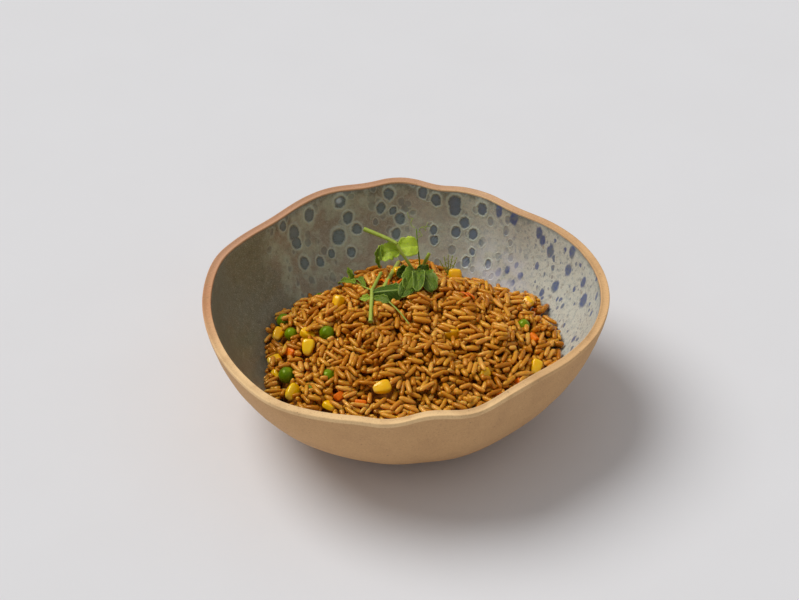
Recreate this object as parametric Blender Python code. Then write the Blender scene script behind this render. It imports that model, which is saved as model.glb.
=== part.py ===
"""Vegetable fried rice in an irregular stoneware bowl, topped with pea shoots.

Units are metres and +Z is up. The origin is on the table, under the middle of the bowl;
+X runs to the right and +Y runs away from the front of the bowl.
"""
import math
import random

import bmesh
import bpy
from mathutils import Matrix, Vector, geometry, noise

MM = 0.001
GAP = 0.3 * MM                  # air between pieces that lie against each other
WELD = 0.002 * MM               # points nearer than this are one
SEED = 7

# Bowl: the plan of its rim as (degrees about the axis, radius in mm, height in mm).
RIM_STATIONS = (
    (0, 103.1, 65.0), (20, 101.5, 65.0), (36, 98.0, 65.0), (50, 94.1, 65.0), (60, 96.3, 65.0),
    (70, 97.1, 65.0), (79, 95.1, 65.0), (91, 99.6, 66.0), (102, 97.5, 65.0), (116, 99.2, 65.0),
    (138, 94.6, 65.0), (152, 97.7, 65.0), (163, 101.1, 65.0), (180, 101.5, 65.0),
    (200, 102.3, 65.0), (218, 104.6, 65.0), (234, 106.5, 64.5), (247, 103.8, 64.5),
    (258, 101.2, 64.5), (266, 100.9, 64.0), (277, 97.1, 65.5), (289, 99.5, 65.0),
    (300, 96.0, 65.5), (312, 94.4, 66.0), (325, 97.3, 66.0), (340, 100.9, 65.5),
)
RIM_RADIUS = 100.0 * MM         # the even rim that the stations bend
RIM_HEIGHT = 65.0 * MM
LIP_RISE = 1.4 * MM             # rounding of the lip above the two edges of the wall
FOOT_RADIUS = 40.0 * MM
FOOT_HEIGHT = 2.5 * MM
FOOT_RING_WIDTH = 7.0 * MM
FOOT_CHAMFER = 0.8 * MM
FOOT_RECESS = 1.2 * MM
WALL_AT_FOOT = 5.5 * MM
WALL_AT_RIM = 4.8 * MM
BELLY_RISE = 1.54               # exponents of the belly's curve
BELLY_ROUND = 2.10
WELL_RADIUS = 22.0 * MM
SEGMENTS = 60
OUTER_RINGS = 7
INNER_RINGS = 8
LIP_STEPS = 3

# Rice: where it meets the bowl's inside, as (degrees, height in mm), and its crown.
CONTACT_STATIONS = (
    (0, 29.0), (25, 29.0), (48, 23.5), (66, 22.5), (84, 25.0), (100, 23.0), (118, 20.0),
    (140, 20.5), (155, 23.0), (172, 21.5), (190, 21.0), (205, 22.0), (240, 24.0),
    (300, 26.0), (335, 28.0),
)
CONTACT_MEAN = 25.0 * MM
BISECTIONS = 30                 # halvings that find the contact line
CROWN = 22.0 * MM
CROWN_POWER = 2.2
CROWN_LEAN = 2.6                # share per metre by which the crown is higher at the back
SWELL = 1.3 * MM                # broad unevenness of the heap
SWELL_SIZE = 17.0 * MM
GRAIN_LENGTH = 7.2 * MM
GRAIN_WIDTH = 2.1 * MM
RIDGE_COUNT = 460
RIDGE_SPACING = 4.4 * MM
RIDGE_CLEARANCE = 1.5 * MM
RIDGE_RISE = 1.2 * MM
FURROW_COUNT = 430
FURROW_SPACING = 2.8 * MM
FURROW_DEPTH = 1.3 * MM
CALM_SHARE = 0.35               # how much of that relief stays under the garnish
LOOSE_GRAINS = 20
LOOSE_SPACING = 15 * MM
EDGE_MARGIN = 3.2 * MM          # between the heap's outline and its outermost ridges
TRIES = 40                      # random places tried for each one wanted
LOOSE_LIFT = 0.9                # mm that a loose grain's middle stands above the heap
LOOSE_TILT = 24                 # degrees

# Vegetables: places on the heap in mm, seen from above; the height comes from the heap.
# Peas: x, y, diameter, share of the diameter that stands proud.
PEAS = (
    (-64.0, 23.0, 8.2, 0.62), (-60.4, -22.6, 9.2, 0.70), (-40.4, -1.4, 8.6, 0.55),
    (-39.2, -30.0, 8.2, 0.42), (-47.5, -36.8, 8.0, 0.45), (-59.5, 10.0, 7.8, 0.42),
    (60.5, 9.0, 7.6, 0.40), (-45.5, 42.0, 7.8, 0.50), (13.0, -60.0, 8.4, 0.50),
    (48.0, -50.0, 8.2, 0.52),
)
PEA_DIMPLE = 0.10               # shares of the pea's radius
PEA_DIMPLE_HEIGHT = 0.25
PEA_FLATNESS = 0.96
# Sweetcorn: x, y, length, turn about Z, tip-up tilt and roll in degrees, share standing proud.
KERNELS = (
    (-66.5, 13.5, 8.4, 70, 10, 20, 0.66), (-67.5, -6.0, 8.2, 20, 0, 10, 0.66),
    (-49.8, -9.4, 9.2, 80, 35, 0, 0.80), (-50.2, 1.6, 8.8, 150, 12, 10, 0.66),
    (-35.3, 18.2, 9.4, 70, 40, 75, 0.72), (-57.0, -34.5, 9.6, 60, 15, 40, 0.66),
    (-12.0, -44.0, 9.6, 15, 8, 25, 0.72), (26.0, 43.5, 10.2, 90, 62, 0, 0.95),
    (62.5, 27.0, 8.6, 30, 20, 10, 0.78), (23.0, -5.7, 8.8, 10, 5, 80, 0.26),
    (-3.5, 51.0, 7.6, 120, 10, 20, 0.52), (65.5, -21.0, 8.4, 70, 25, 30, 0.70),
    (38.8, -30.7, 7.4, 40, 10, 60, 0.42), (-38.0, -48.5, 7.2, 140, 5, 20, 0.55),
    (-66.0, -16.6, 6.8, 120, 10, 50, 0.50), (-6.0, -62.0, 8.6, 35, 10, 15, 0.62),
    (31.0, -57.0, 8.8, 130, 20, 30, 0.62),
)
KERNEL_WIDTH = 0.86             # shares of the kernel's length
KERNEL_DEPTH = 0.56
KERNEL_TAPER = 0.60             # width at the tip, as a share of the crown's
KERNEL_SQUARENESS = 0.68        # exponent that fills the kernel's corners
# Carrot dice, fused to the rice: x, y, size, turn.
CARROTS = (
    (-59.0, -6.0, 5.2, 20), (-33.0, -44.7, 4.8, 50), (-22.4, -50.1, 5.4, 10),
    (-53.0, 37.0, 4.2, 70), (29.2, 22.4, 4.6, 35), (68.5, 27.5, 4.4, 60),
    (35.6, 44.5, 4.6, 15), (-15.9, 51.0, 4.2, 80), (65.5, 0.5, 4.8, 40),
    (57.0, -32.0, 4.4, 65), (45.5, -42.0, 4.2, 25), (8.0, 62.0, 4.2, 45),
    (-10.0, -70.0, 4.6, 30),
)

# Pea shoots: paths and leaves in mm.
LEAF_THICKNESS = 0.5 * MM
LEAF_ROWS = 4
LEAF_COLUMNS = 4
LEAF_REACH = 0.96               # the blade ends just short of a point
STALK_SHARE = 0.16              # width at the stalk, as a share of the widest
TENDRIL_RADIUS = 0.35 * MM
# Where the garnish lies, in mm: low x, high x, low y, high y.
GARNISH_ZONES = (
    (-40, 4, 10, 54), (-22, 22, 16, 50), (-23, -13, -8, 12), (-14, 4, -6, 18), (18, 28, 51, 61),
)


# ---------------------------------------------------------------- shared helpers
def clear_scene():
    """Remove every object, so the script starts from nothing."""
    for item in list(bpy.data.objects):
        bpy.data.objects.remove(item, do_unlink=True)


def material(name, colour, roughness):
    """Return a Principled material with one colour and roughness."""
    made = bpy.data.materials.new(name)
    made.use_nodes = True
    shader = made.node_tree.nodes["Principled BSDF"]
    shader.inputs["Base Color"].default_value = (*colour, 1.0)
    shader.inputs["Roughness"].default_value = roughness
    return made


def place(name, mesh, made=None):
    """Link a mesh to the scene as an object, with its material."""
    item = bpy.data.objects.new(name, mesh)
    bpy.context.scene.collection.objects.link(item)
    if made:
        mesh.materials.clear()
        mesh.materials.append(made)
    return item


def mesh_from(bm, name):
    """Turn a bmesh into a mesh, and free it."""
    mesh = bpy.data.meshes.new(name)
    bm.to_mesh(mesh)
    bm.free()
    return mesh


def evaluated_mesh(item):
    """Return a new mesh of an object with its modifiers or bevel applied."""
    seen = item.evaluated_get(bpy.context.evaluated_depsgraph_get())
    return bpy.data.meshes.new_from_object(seen)


def station_curve(stations, column):
    """Return a function of degrees: a smooth closed curve through one column of stations."""
    angles = [row[0] for row in stations]
    values = [row[column] * MM for row in stations]
    count = len(stations)

    def slope(index):
        before, after = (index - 1) % count, (index + 1) % count
        return (values[after] - values[before]) / ((angles[after] - angles[before]) % 360)

    def curve(degrees):
        degrees %= 360
        first = max((i for i in range(count) if angles[i] <= degrees), default=count - 1)
        second = (first + 1) % count
        span = (angles[second] - angles[first]) % 360
        u = ((degrees - angles[first]) % 360) / span
        rise, fall = slope(first) * span, slope(second) * span
        return ((2 * u**3 - 3 * u**2 + 1) * values[first] + (u**3 - 2 * u**2 + u) * rise
                + (3 * u**2 - 2 * u**3) * values[second] + (u**3 - u**2) * fall)

    return curve


def keep_largest_body(item):
    """Drop the scraps and sealed hollows that a Boolean leaves beside the main body."""
    bm = bmesh.new()
    bm.from_mesh(item.data)
    waiting = set(bm.verts)
    bodies = []
    while waiting:
        body = [waiting.pop()]
        for vert in body:
            for edge in vert.link_edges:
                other = edge.other_vert(vert)
                if other in waiting:
                    waiting.remove(other)
                    body.append(other)
        bodies.append(body)
    bodies.sort(key=len)
    for body in bodies[:-1]:
        bmesh.ops.delete(bm, geom=body, context="VERTS")
    bm.to_mesh(item.data)
    bm.free()


# ---------------------------------------------------------------- bowl
ANGLES = [360 * index / SEGMENTS for index in range(SEGMENTS)]
rim_radius = station_curve(RIM_STATIONS, 1)
rim_height = station_curve(RIM_STATIONS, 2)
contact_height = station_curve(CONTACT_STATIONS, 1)


def plan_shift():
    """Return the middle of the rim's plan, which the origin stands under."""
    points = [Vector((math.cos(math.radians(a)), math.sin(math.radians(a)))) * rim_radius(a)
              for a in ANGLES]
    xs = [point.x for point in points]
    ys = [point.y for point in points]
    return Vector(((min(xs) + max(xs)) / 2, (min(ys) + max(ys)) / 2))


SHIFT = plan_shift()


def belly(t):
    """Return the outer wall's radius, as a share of the rim's, at share t of its height."""
    foot = FOOT_RADIUS / RIM_RADIUS
    return foot + (1 - foot) * (1 - (1 - t) ** BELLY_RISE) ** (1 / BELLY_ROUND)


def outer_profile(t):
    """Return radius and height of the even outer wall at share t of its height."""
    return Vector((RIM_RADIUS * belly(t), FOOT_HEIGHT + (RIM_HEIGHT - FOOT_HEIGHT) * t))


def wall_profile(t, depth):
    """Return radius and height of the even wall, depth inside its outer face."""
    step = 0.004
    run = (outer_profile(min(t + step, 1)) - outer_profile(max(t - step, 0))).normalized()
    return outer_profile(t) + Vector((-run.y, run.x)) * depth


def wall_thickness(t):
    """Return the wall's thickness at share t of its height."""
    return WALL_AT_FOOT + (WALL_AT_RIM - WALL_AT_FOOT) * t


def wall_point(degrees, t, depth, lift=0.0):
    """Return a point of the uneven wall: the even wall, bent by the rim's stations."""
    radius, height = wall_profile(t, depth)
    radius += (rim_radius(degrees) - RIM_RADIUS) * t * belly(t)
    height += (rim_height(degrees) - RIM_HEIGHT) * t + lift
    turn = math.radians(degrees)
    return Vector((radius * math.cos(turn) - SHIFT.x, radius * math.sin(turn) - SHIFT.y, height))


def even_ring(radius, height):
    """Return a level ring about the bowl's axis."""
    return [Vector((radius * math.cos(math.radians(a)) - SHIFT.x,
                    radius * math.sin(math.radians(a)) - SHIFT.y, height)) for a in ANGLES]


def wall_ring(t, depth, lift=0.0):
    """Return one ring of the uneven wall."""
    return [wall_point(a, t, depth, lift) for a in ANGLES]


def inner_shares():
    """Return the height shares of the inside's rings, from the floor up to the lip."""
    return [(step / INNER_RINGS) ** 2 for step in range(INNER_RINGS + 1)]


def add_rings(bm, rings, close_first=False, close_last=False):
    """Skin a stack of rings with quads, and fan its ends shut where asked."""
    rows = [[bm.verts.new(point) for point in ring] for ring in rings]
    for low, high in zip(rows, rows[1:]):
        for here in range(len(low)):
            there = (here + 1) % len(low)
            bm.faces.new((low[here], low[there], high[there], high[here]))
    for row, wanted in ((rows[0], close_first), (rows[-1], close_last)):
        if not wanted:
            continue
        middle = bm.verts.new(sum((vert.co for vert in row), Vector()) / len(row))
        for here in range(len(row)):
            bm.faces.new((row[here], row[(here + 1) % len(row)], middle))
    return rows


def make_bowl():
    """Make the bowl: foot ring, bellied outer wall, round lip and the inside."""
    under = [
        even_ring(FOOT_RADIUS - FOOT_RING_WIDTH - FOOT_CHAMFER, FOOT_RECESS),
        even_ring(FOOT_RADIUS - FOOT_RING_WIDTH, 0),
        even_ring(FOOT_RADIUS - FOOT_CHAMFER, 0),
        even_ring(FOOT_RADIUS, FOOT_CHAMFER),
    ]
    outer = [wall_ring((step / OUTER_RINGS) ** 2, 0) for step in range(OUTER_RINGS)]
    lip = []
    for step in range(LIP_STEPS + 1):
        turn = math.pi * step / LIP_STEPS
        depth = WALL_AT_RIM * (1 - math.cos(turn)) / 2
        lip.append(wall_ring(1, depth, LIP_RISE * (math.sin(turn) - 0.5)))
    inner = [wall_ring(t, wall_thickness(t)) for t in reversed(inner_shares()[:-1])]
    well = [even_ring(WELL_RADIUS, FOOT_HEIGHT + WALL_AT_FOOT)]
    bm = bmesh.new()
    add_rings(bm, under + outer + lip + inner + well, close_first=True, close_last=True)
    bmesh.ops.recalc_face_normals(bm, faces=bm.faces)
    bmesh.ops.triangulate(bm, faces=bm.faces)
    mesh = mesh_from(bm, "bowl")
    mesh.shade_smooth()
    mesh.set_sharp_from_angle(angle=math.radians(40))
    return place("bowl", mesh, material("stoneware", (0.55, 0.38, 0.22), 0.7))


# ---------------------------------------------------------------- rice heap
def inside_point(degrees, t, air):
    """Return a point inside the bowl, on its flat facets, with air between it and the wall."""
    shares = inner_shares()
    upper = next((share for share in shares if share > t), 1.0)
    lower = shares[shares.index(upper) - 1]
    low, high = (wall_point(degrees, share, wall_thickness(share) + air)
                 for share in (lower, upper))
    return low.lerp(high, (t - lower) / (upper - lower))


def contact_share(degrees):
    """Return the wall's height share at which the rice meets the inside."""
    low, high = 0.0, 1.0
    for _ in range(BISECTIONS):
        middle = (low + high) / 2
        if inside_point(degrees, middle, 0).z < contact_height(degrees):
            low = middle
        else:
            high = middle
    return low


CONTACT_SHARES = [contact_share(a) for a in ANGLES]
CONTACT_RADII = [
    (inside_point(a, t, GAP) + Vector((SHIFT.x, SHIFT.y, 0))).xy.length
    for a, t in zip(ANGLES, CONTACT_SHARES)]


def heap_share(x, y):
    """Return the degrees of a place, and how far out towards the wall it lies, 0 to 1."""
    degrees = math.degrees(math.atan2(y + SHIFT.y, x + SHIFT.x)) % 360
    place_on = degrees * SEGMENTS / 360
    here = int(place_on) % SEGMENTS
    there = (here + 1) % SEGMENTS
    radius = CONTACT_RADII[here] + (CONTACT_RADII[there] - CONTACT_RADII[here]) * (place_on % 1)
    return degrees, math.hypot(x + SHIFT.x, y + SHIFT.y) / radius


def heap_height(x, y):
    """Return the height of the heap's even surface at a place."""
    degrees, share = heap_share(x, y)
    share = min(share, 1.0)
    edge = CONTACT_MEAN + (contact_height(degrees) - CONTACT_MEAN) * share**2
    crown = CROWN * (1 - share**CROWN_POWER)
    swell = SWELL * noise.noise(Vector((x, y, 0)) / SWELL_SIZE) * (1 - share**4)
    return edge + crown * (1 + CROWN_LEAN * y) + swell


def on_heap(x, y, lift=0.0):
    """Return the point of the heap's even surface at a place in mm, raised by lift in mm."""
    return Vector((x * MM, y * MM, heap_height(x * MM, y * MM) + lift * MM))


def inside_outline(point, margin):
    """Tell whether a plan point lies inside the heap's outline by a margin."""
    degrees, share = heap_share(point.x, point.y)
    radius = CONTACT_RADII[int(degrees * SEGMENTS / 360) % SEGMENTS]
    return share * radius < radius - margin


def random_place(draw):
    """Return a random plan point in the square round the heap."""
    return Vector((draw.uniform(-RIM_RADIUS, RIM_RADIUS), draw.uniform(-RIM_RADIUS, RIM_RADIUS)))


def distance_to_ridge(point, ridge):
    """Return the plan distance from a point to a ridge's line."""
    nearest, share = geometry.intersect_point_line(point, *ridge)
    if share < 0 or share > 1:
        nearest = ridge[0] if share < 0 else ridge[1]
    return (point - nearest.xy).length


def scatter_ridges(draw):
    """Scatter grain-long ridges over the heap, none crossing another."""
    ridges = []
    for _ in range(TRIES * RIDGE_COUNT):
        if len(ridges) == RIDGE_COUNT:
            break
        middle = random_place(draw)
        turn = draw.uniform(0, math.pi)
        half = Vector((math.cos(turn), math.sin(turn))) * GRAIN_LENGTH * draw.uniform(0.32, 0.4)
        ridge = (middle - half, middle + half)
        if not all(inside_outline(end, EDGE_MARGIN) for end in ridge):
            continue
        near = [other for other in ridges
                if ((other[0] + other[1]) / 2 - middle).length < 2 * GRAIN_LENGTH]
        if any(((other[0] + other[1]) / 2 - middle).length < RIDGE_SPACING
               or geometry.intersect_line_line_2d(*ridge, *other)
               or min(distance_to_ridge(ridge[0], other), distance_to_ridge(ridge[1], other),
                      distance_to_ridge(other[0], ridge), distance_to_ridge(other[1], ridge))
               < RIDGE_CLEARANCE for other in near):
            continue
        ridges.append(ridge)
    return ridges


def scatter_furrows(draw, ridges):
    """Scatter the low points between the ridges."""
    furrows = []
    for _ in range(TRIES * FURROW_COUNT):
        if len(furrows) == FURROW_COUNT:
            break
        point = random_place(draw)
        if not inside_outline(point, EDGE_MARGIN / 2):
            continue
        if any((other - point).length < FURROW_SPACING for other in furrows):
            continue
        near = [ridge for ridge in ridges if (ridge[0] - point).length < 1.5 * GRAIN_LENGTH]
        if any(distance_to_ridge(point, ridge) < RIDGE_CLEARANCE for ridge in near):
            continue
        furrows.append(point)
    return furrows


def relief_share(point):
    """Return how much of the grain relief a plan point takes: less under the garnish."""
    return CALM_SHARE if under_garnish(point.x / MM, point.y / MM) else 1.0


def heap_top(draw, outline):
    """Return points and triangles of the heap's top: ridges, furrows and the contact line."""
    ridges = scatter_ridges(draw)
    furrows = scatter_furrows(draw, ridges)
    points = [(point.xy, point.z) for point in outline]
    edges = []
    for ridge in ridges:
        rise = RIDGE_RISE * draw.uniform(0.3, 1.2)
        tilt = RIDGE_RISE * draw.uniform(-0.5, 0.5)
        edges.append((len(points), len(points) + 1))
        for end, side in zip(ridge, (-1, 1)):
            relief = (rise + side * tilt) * relief_share(end)
            points.append((end, heap_height(end.x, end.y) + relief))
    for point in furrows:
        drop = FURROW_DEPTH * draw.uniform(0.4, 1.2) * relief_share(point)
        points.append((point, heap_height(point.x, point.y) - drop))
    found = geometry.delaunay_2d_cdt(
        [point[0] for point in points], edges, [list(range(len(outline)))], 1, 1e-7)
    corners = [Vector((flat.x, flat.y, points[origin[0]][1]))
               for flat, origin in zip(found[0], found[3])]
    return corners, found[2]


def grain_mesh(length, width):
    """Return a slim rice grain along X: four sides, three rings and two points."""
    bm = bmesh.new()
    rings = []
    for along, girth in ((-0.3, 0.78), (0.0, 1.0), (0.3, 0.78)):
        rings.append([Vector((along * length, girth * width / 2 * math.cos(turn),
                              girth * width / 2 * math.sin(turn)))
                      for turn in (0.25 * math.pi, 0.75 * math.pi, 1.25 * math.pi,
                                   1.75 * math.pi)])
    rows = add_rings(bm, rings)
    for row, side in ((rows[0], -1), (rows[-1], 1)):
        point = bm.verts.new((side * length / 2, 0, 0))
        for here in range(len(row)):
            bm.faces.new((row[here], row[(here + 1) % len(row)], point))
    bmesh.ops.recalc_face_normals(bm, faces=bm.faces)
    return mesh_from(bm, "grain")


def dice_mesh(size):
    """Return a small carrot dice with bevelled edges."""
    bm = bmesh.new()
    bmesh.ops.create_cube(bm, size=size)
    bmesh.ops.scale(bm, vec=(1.15, 0.85, 0.8), verts=bm.verts)
    bmesh.ops.bevel(bm, geom=list(bm.edges), offset=size * 0.14, segments=1, affect="EDGES")
    return mesh_from(bm, "dice")


def surface_tilt(x, y):
    """Return the turn that lays a piece on the heap's slope at a place in mm."""
    step = 2.0
    across = on_heap(x + step, y) - on_heap(x - step, y)
    away = on_heap(x, y + step) - on_heap(x, y - step)
    return across.cross(away).normalized().to_track_quat("Z", "Y").to_matrix().to_4x4()


def clear_of_toppings(x, y, reach):
    """Tell whether a place in mm is clear of every pea, kernel and carrot."""
    for row in PEAS + KERNELS + CARROTS:
        if math.hypot(x - row[0], y - row[1]) < reach + row[2] / 2:
            return False
    return True


def loose_grain_places(draw):
    """Return places in mm for the loose grains, spread evenly and clear of the toppings."""
    places = []
    for _ in range(TRIES * LOOSE_GRAINS):
        if len(places) == LOOSE_GRAINS:
            break
        point = random_place(draw)
        x, y = point.x / MM, point.y / MM
        if not inside_outline(point, 2 * EDGE_MARGIN):
            continue
        if not clear_of_toppings(x, y, GRAIN_LENGTH / MM * 0.5):
            continue
        if under_garnish(x, y):
            continue
        if any(math.hypot(x - other[0], y - other[1]) < LOOSE_SPACING / MM for other in places):
            continue
        places.append((x, y))
    return places


def join_all(base, pieces, solver):
    """Fuse the pieces to the base with one Boolean union on their collection."""
    group = bpy.data.collections.new("pieces to fuse")
    bpy.context.scene.collection.children.link(group)
    for piece in pieces:
        bpy.context.scene.collection.objects.unlink(piece)
        group.objects.link(piece)
    union = base.modifiers.new("fuse", "BOOLEAN")
    union.operation = "UNION"
    union.operand_type = "COLLECTION"
    union.collection = group
    union.solver = solver
    fused = evaluated_mesh(base)
    base.modifiers.clear()
    base.data = fused
    for piece in pieces:
        bpy.data.objects.remove(piece, do_unlink=True)
    bpy.data.collections.remove(group)


def make_rice():
    """Make the heap: a body that fits the bowl, ridged like grains, with pieces fused on."""
    draw = random.Random(SEED)
    steps = [t for t in inner_shares() if t < min(CONTACT_SHARES)][::2]
    below = [[wall_point(a, t, wall_thickness(t) + GAP) for a in ANGLES] for t in steps]
    outline = [inside_point(a, t, GAP) for a, t in zip(ANGLES, CONTACT_SHARES)]
    bm = bmesh.new()
    add_rings(bm, below + [outline], close_first=True)
    corners, triangles = heap_top(draw, outline)
    verts = [bm.verts.new(corner) for corner in corners]
    for triangle in triangles:
        bm.faces.new([verts[index] for index in triangle])
    bmesh.ops.remove_doubles(bm, verts=bm.verts, dist=WELD)
    bmesh.ops.recalc_face_normals(bm, faces=bm.faces)
    bmesh.ops.triangulate(bm, faces=bm.faces)
    rice = place("rice", mesh_from(bm, "rice"))
    pieces = []
    for x, y in loose_grain_places(draw):
        size = draw.uniform(0.85, 1.1)
        spin = Matrix.Rotation(draw.uniform(0, math.tau), 4, "Z")
        tilt = Matrix.Rotation(math.radians(draw.uniform(-LOOSE_TILT, LOOSE_TILT)), 4, "Y")
        grain = place("grain", grain_mesh(GRAIN_LENGTH * size, GRAIN_WIDTH * size))
        grain.matrix_world = (Matrix.Translation(on_heap(x, y, LOOSE_LIFT))
                              @ surface_tilt(x, y) @ spin @ tilt)
        pieces.append(grain)
    for x, y, size, turn in CARROTS:
        dice = place("dice", dice_mesh(size * MM))
        dice.matrix_world = (Matrix.Translation(on_heap(x, y, 0.25 * size))
                             @ surface_tilt(x, y) @ Matrix.Rotation(math.radians(turn), 4, "Z")
                             @ Matrix.Rotation(0.35, 4, "X"))
        pieces.append(dice)
    join_all(rice, pieces, "MANIFOLD")
    rice.data.materials.clear()
    rice.data.materials.append(material("fried rice", (0.48, 0.22, 0.06), 0.5))
    return rice


# ---------------------------------------------------------------- vegetables
def unit_ball():
    """Return a ball of radius 1."""
    bm = bmesh.new()
    bmesh.ops.create_icosphere(bm, subdivisions=2, radius=1.0)
    return bm


def pea_mesh(diameter):
    """Return a pea: a ball, slightly flattened, with a shallow dimple."""
    bm = unit_ball()
    for vert in bm.verts:
        dimple = max(0.0, vert.co.x - 1 + PEA_DIMPLE_HEIGHT) / PEA_DIMPLE_HEIGHT
        vert.co *= 1 - PEA_DIMPLE * dimple
        vert.co.z *= PEA_FLATNESS
    bmesh.ops.scale(bm, vec=(diameter / 2,) * 3, verts=bm.verts)
    return mesh_from(bm, "pea")


def kernel_mesh(length):
    """Return a sweetcorn kernel along X: broad round crown, narrow flattened tip."""
    bm = unit_ball()
    for vert in bm.verts:
        x, y, z = (math.copysign(abs(c) ** KERNEL_SQUARENESS, c) for c in vert.co)
        taper = KERNEL_TAPER + (1 - KERNEL_TAPER) * (x + 1) / 2
        vert.co = Vector((x * length / 2, y * taper * length * KERNEL_WIDTH / 2,
                          z * (1 + taper) / 2 * length * KERNEL_DEPTH / 2))
    return mesh_from(bm, "kernel")


def make_peas():
    """Place the peas, each its own piece."""
    green = material("pea", (0.16, 0.32, 0.03), 0.35)
    made = []
    for number, (x, y, diameter, proud) in enumerate(PEAS, 1):
        pea = place(f"pea_{number:02d}", pea_mesh(diameter * MM), green)
        pea.data.shade_smooth()
        pea.location = on_heap(x, y, diameter * (proud - 0.5))
        pea.rotation_euler = (0.6 * number, 0.9 * number, 1.7 * number)
        made.append(pea)
    return made


def make_kernels():
    """Place the sweetcorn kernels, each its own piece."""
    yellow = material("sweetcorn", (0.85, 0.52, 0.04), 0.3)
    made = []
    for number, (x, y, length, turn, tilt, roll, proud) in enumerate(KERNELS, 1):
        kernel = place(f"corn_{number:02d}", kernel_mesh(length * MM), yellow)
        kernel.data.shade_smooth()
        kernel.matrix_world = (
            Matrix.Translation(on_heap(x, y, length * KERNEL_WIDTH * (proud - 0.5)))
            @ Matrix.Rotation(math.radians(turn), 4, "Z")
            @ Matrix.Rotation(math.radians(-tilt), 4, "Y")
            @ Matrix.Rotation(math.radians(roll), 4, "X"))
        made.append(kernel)
    return made


def grown_copy(item, gap):
    """Return a hidden cutter: the piece, swollen by the gap along its normals."""
    mesh = item.data.copy()
    bm = bmesh.new()
    bm.from_mesh(mesh)
    bm.normal_update()
    for vert in bm.verts:
        vert.co += vert.normal * gap * vert.calc_shell_factor()
    bm.to_mesh(mesh)
    bm.free()
    cutter = place("cutter", mesh)
    cutter.matrix_world = item.matrix_world.copy()
    cutter.hide_render = True
    cutter.display_type = "WIRE"
    return cutter


def press_into(rice, toppings):
    """Cut a pocket in the rice for each topping, a gap larger than the piece."""
    group = bpy.data.collections.new("pockets")
    bpy.context.scene.collection.children.link(group)
    cutters = [grown_copy(item, 1.3 * GAP) for item in toppings]
    for cutter in cutters:
        bpy.context.scene.collection.objects.unlink(cutter)
        group.objects.link(cutter)
    cut = rice.modifiers.new("pockets", "BOOLEAN")
    cut.operation = "DIFFERENCE"
    cut.operand_type = "COLLECTION"
    cut.collection = group
    cut.solver = "MANIFOLD"
    mesh = evaluated_mesh(rice)
    rice.modifiers.clear()
    rice.data = mesh
    for cutter in cutters:
        bpy.data.objects.remove(cutter, do_unlink=True)
    bpy.data.collections.remove(group)
    keep_largest_body(rice)


# ---------------------------------------------------------------- pea shoots
def under_garnish(x, y):
    """Tell whether a place in mm lies under the pea shoots."""
    return any(low_x < x < high_x and low_y < y < high_y
               for low_x, high_x, low_y, high_y in GARNISH_ZONES)


def smooth_path(points, steps):
    """Return points in metres along a smooth curve through points in mm."""
    ends = [2 * Vector(points[0]) - Vector(points[1]), *map(Vector, points),
            2 * Vector(points[-1]) - Vector(points[-2])]
    path = []
    for before, start, stop, after in zip(ends, ends[1:], ends[2:], ends[3:]):
        for step in range(steps):
            u = step / steps
            path.append((start * 2 + (stop - before) * u
                         + (before * 2 - start * 5 + stop * 4 - after) * u**2
                         + (start * 3 - before - stop * 3 + after) * u**3) / 2 * MM)
    path.append(Vector(points[-1]) * MM)
    return path


def stem(points, radius, tip_share=0.8, steps=2, roundness=1):
    """Make a stem: a closed tube along a smooth path, tapering towards its tip."""
    path = smooth_path(points, steps)
    curve = bpy.data.curves.new("stem", "CURVE")
    curve.dimensions = "3D"
    curve.bevel_depth = radius
    curve.bevel_resolution = roundness
    curve.use_fill_caps = True
    spline = curve.splines.new("POLY")
    spline.points.add(len(path) - 1)
    for index, (knot, point) in enumerate(zip(spline.points, path)):
        knot.co = (*point, 1.0)
        knot.radius = 1 + (tip_share - 1) * index / (len(path) - 1)
    holder = bpy.data.objects.new("stem", curve)
    bpy.context.scene.collection.objects.link(holder)
    bm = bmesh.new()
    bm.from_mesh(evaluated_mesh(holder))
    bmesh.ops.remove_doubles(bm, verts=bm.verts, dist=WELD)
    bmesh.ops.recalc_face_normals(bm, faces=bm.faces)
    bpy.data.objects.remove(holder, do_unlink=True)
    return place("stem", mesh_from(bm, "stem"))


def leaf(base, tip, width, facing, fold=0.15, cup=0.12, wave=0.03, widest=0.45):
    """Make a leaf: a thin wavy blade from base to tip in mm, its top facing a direction."""
    swing = math.log(0.5) / math.log(widest)
    base, tip = Vector(base) * MM, Vector(tip) * MM
    length = (tip - base).length
    along = (tip - base).normalized()
    across = along.cross(Vector(facing)).normalized()
    up = across.cross(along)
    bm = bmesh.new()
    rows = []
    for row in range(LEAF_ROWS + 1):
        share = LEAF_REACH * row / LEAF_ROWS
        half = width * MM / 2 * max(STALK_SHARE, math.sin(math.pi * share**swing) ** 0.7)
        bend = cup * length * math.sin(math.pi * share)
        line = []
        for column in range(LEAF_COLUMNS + 1):
            side = 2 * column / LEAF_COLUMNS - 1
            ripple = wave * length * math.sin(2.6 * math.pi * share + 2 * side)
            lift = bend + fold * half * 2 * abs(side) + ripple * abs(side)
            line.append(bm.verts.new(base + along * length * share
                                     + across * half * side + up * lift))
        rows.append(line)
    for low, high in zip(rows, rows[1:]):
        for here in range(LEAF_COLUMNS):
            bm.faces.new((low[here], low[here + 1], high[here + 1]))
            bm.faces.new((low[here], high[here + 1], high[here]))
    blade = place("leaf", mesh_from(bm, "leaf"))
    shell = blade.modifiers.new("thickness", "SOLIDIFY")
    shell.thickness = LEAF_THICKNESS
    shell.offset = 0
    blade.data = evaluated_mesh(blade)
    blade.modifiers.clear()
    return blade


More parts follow.
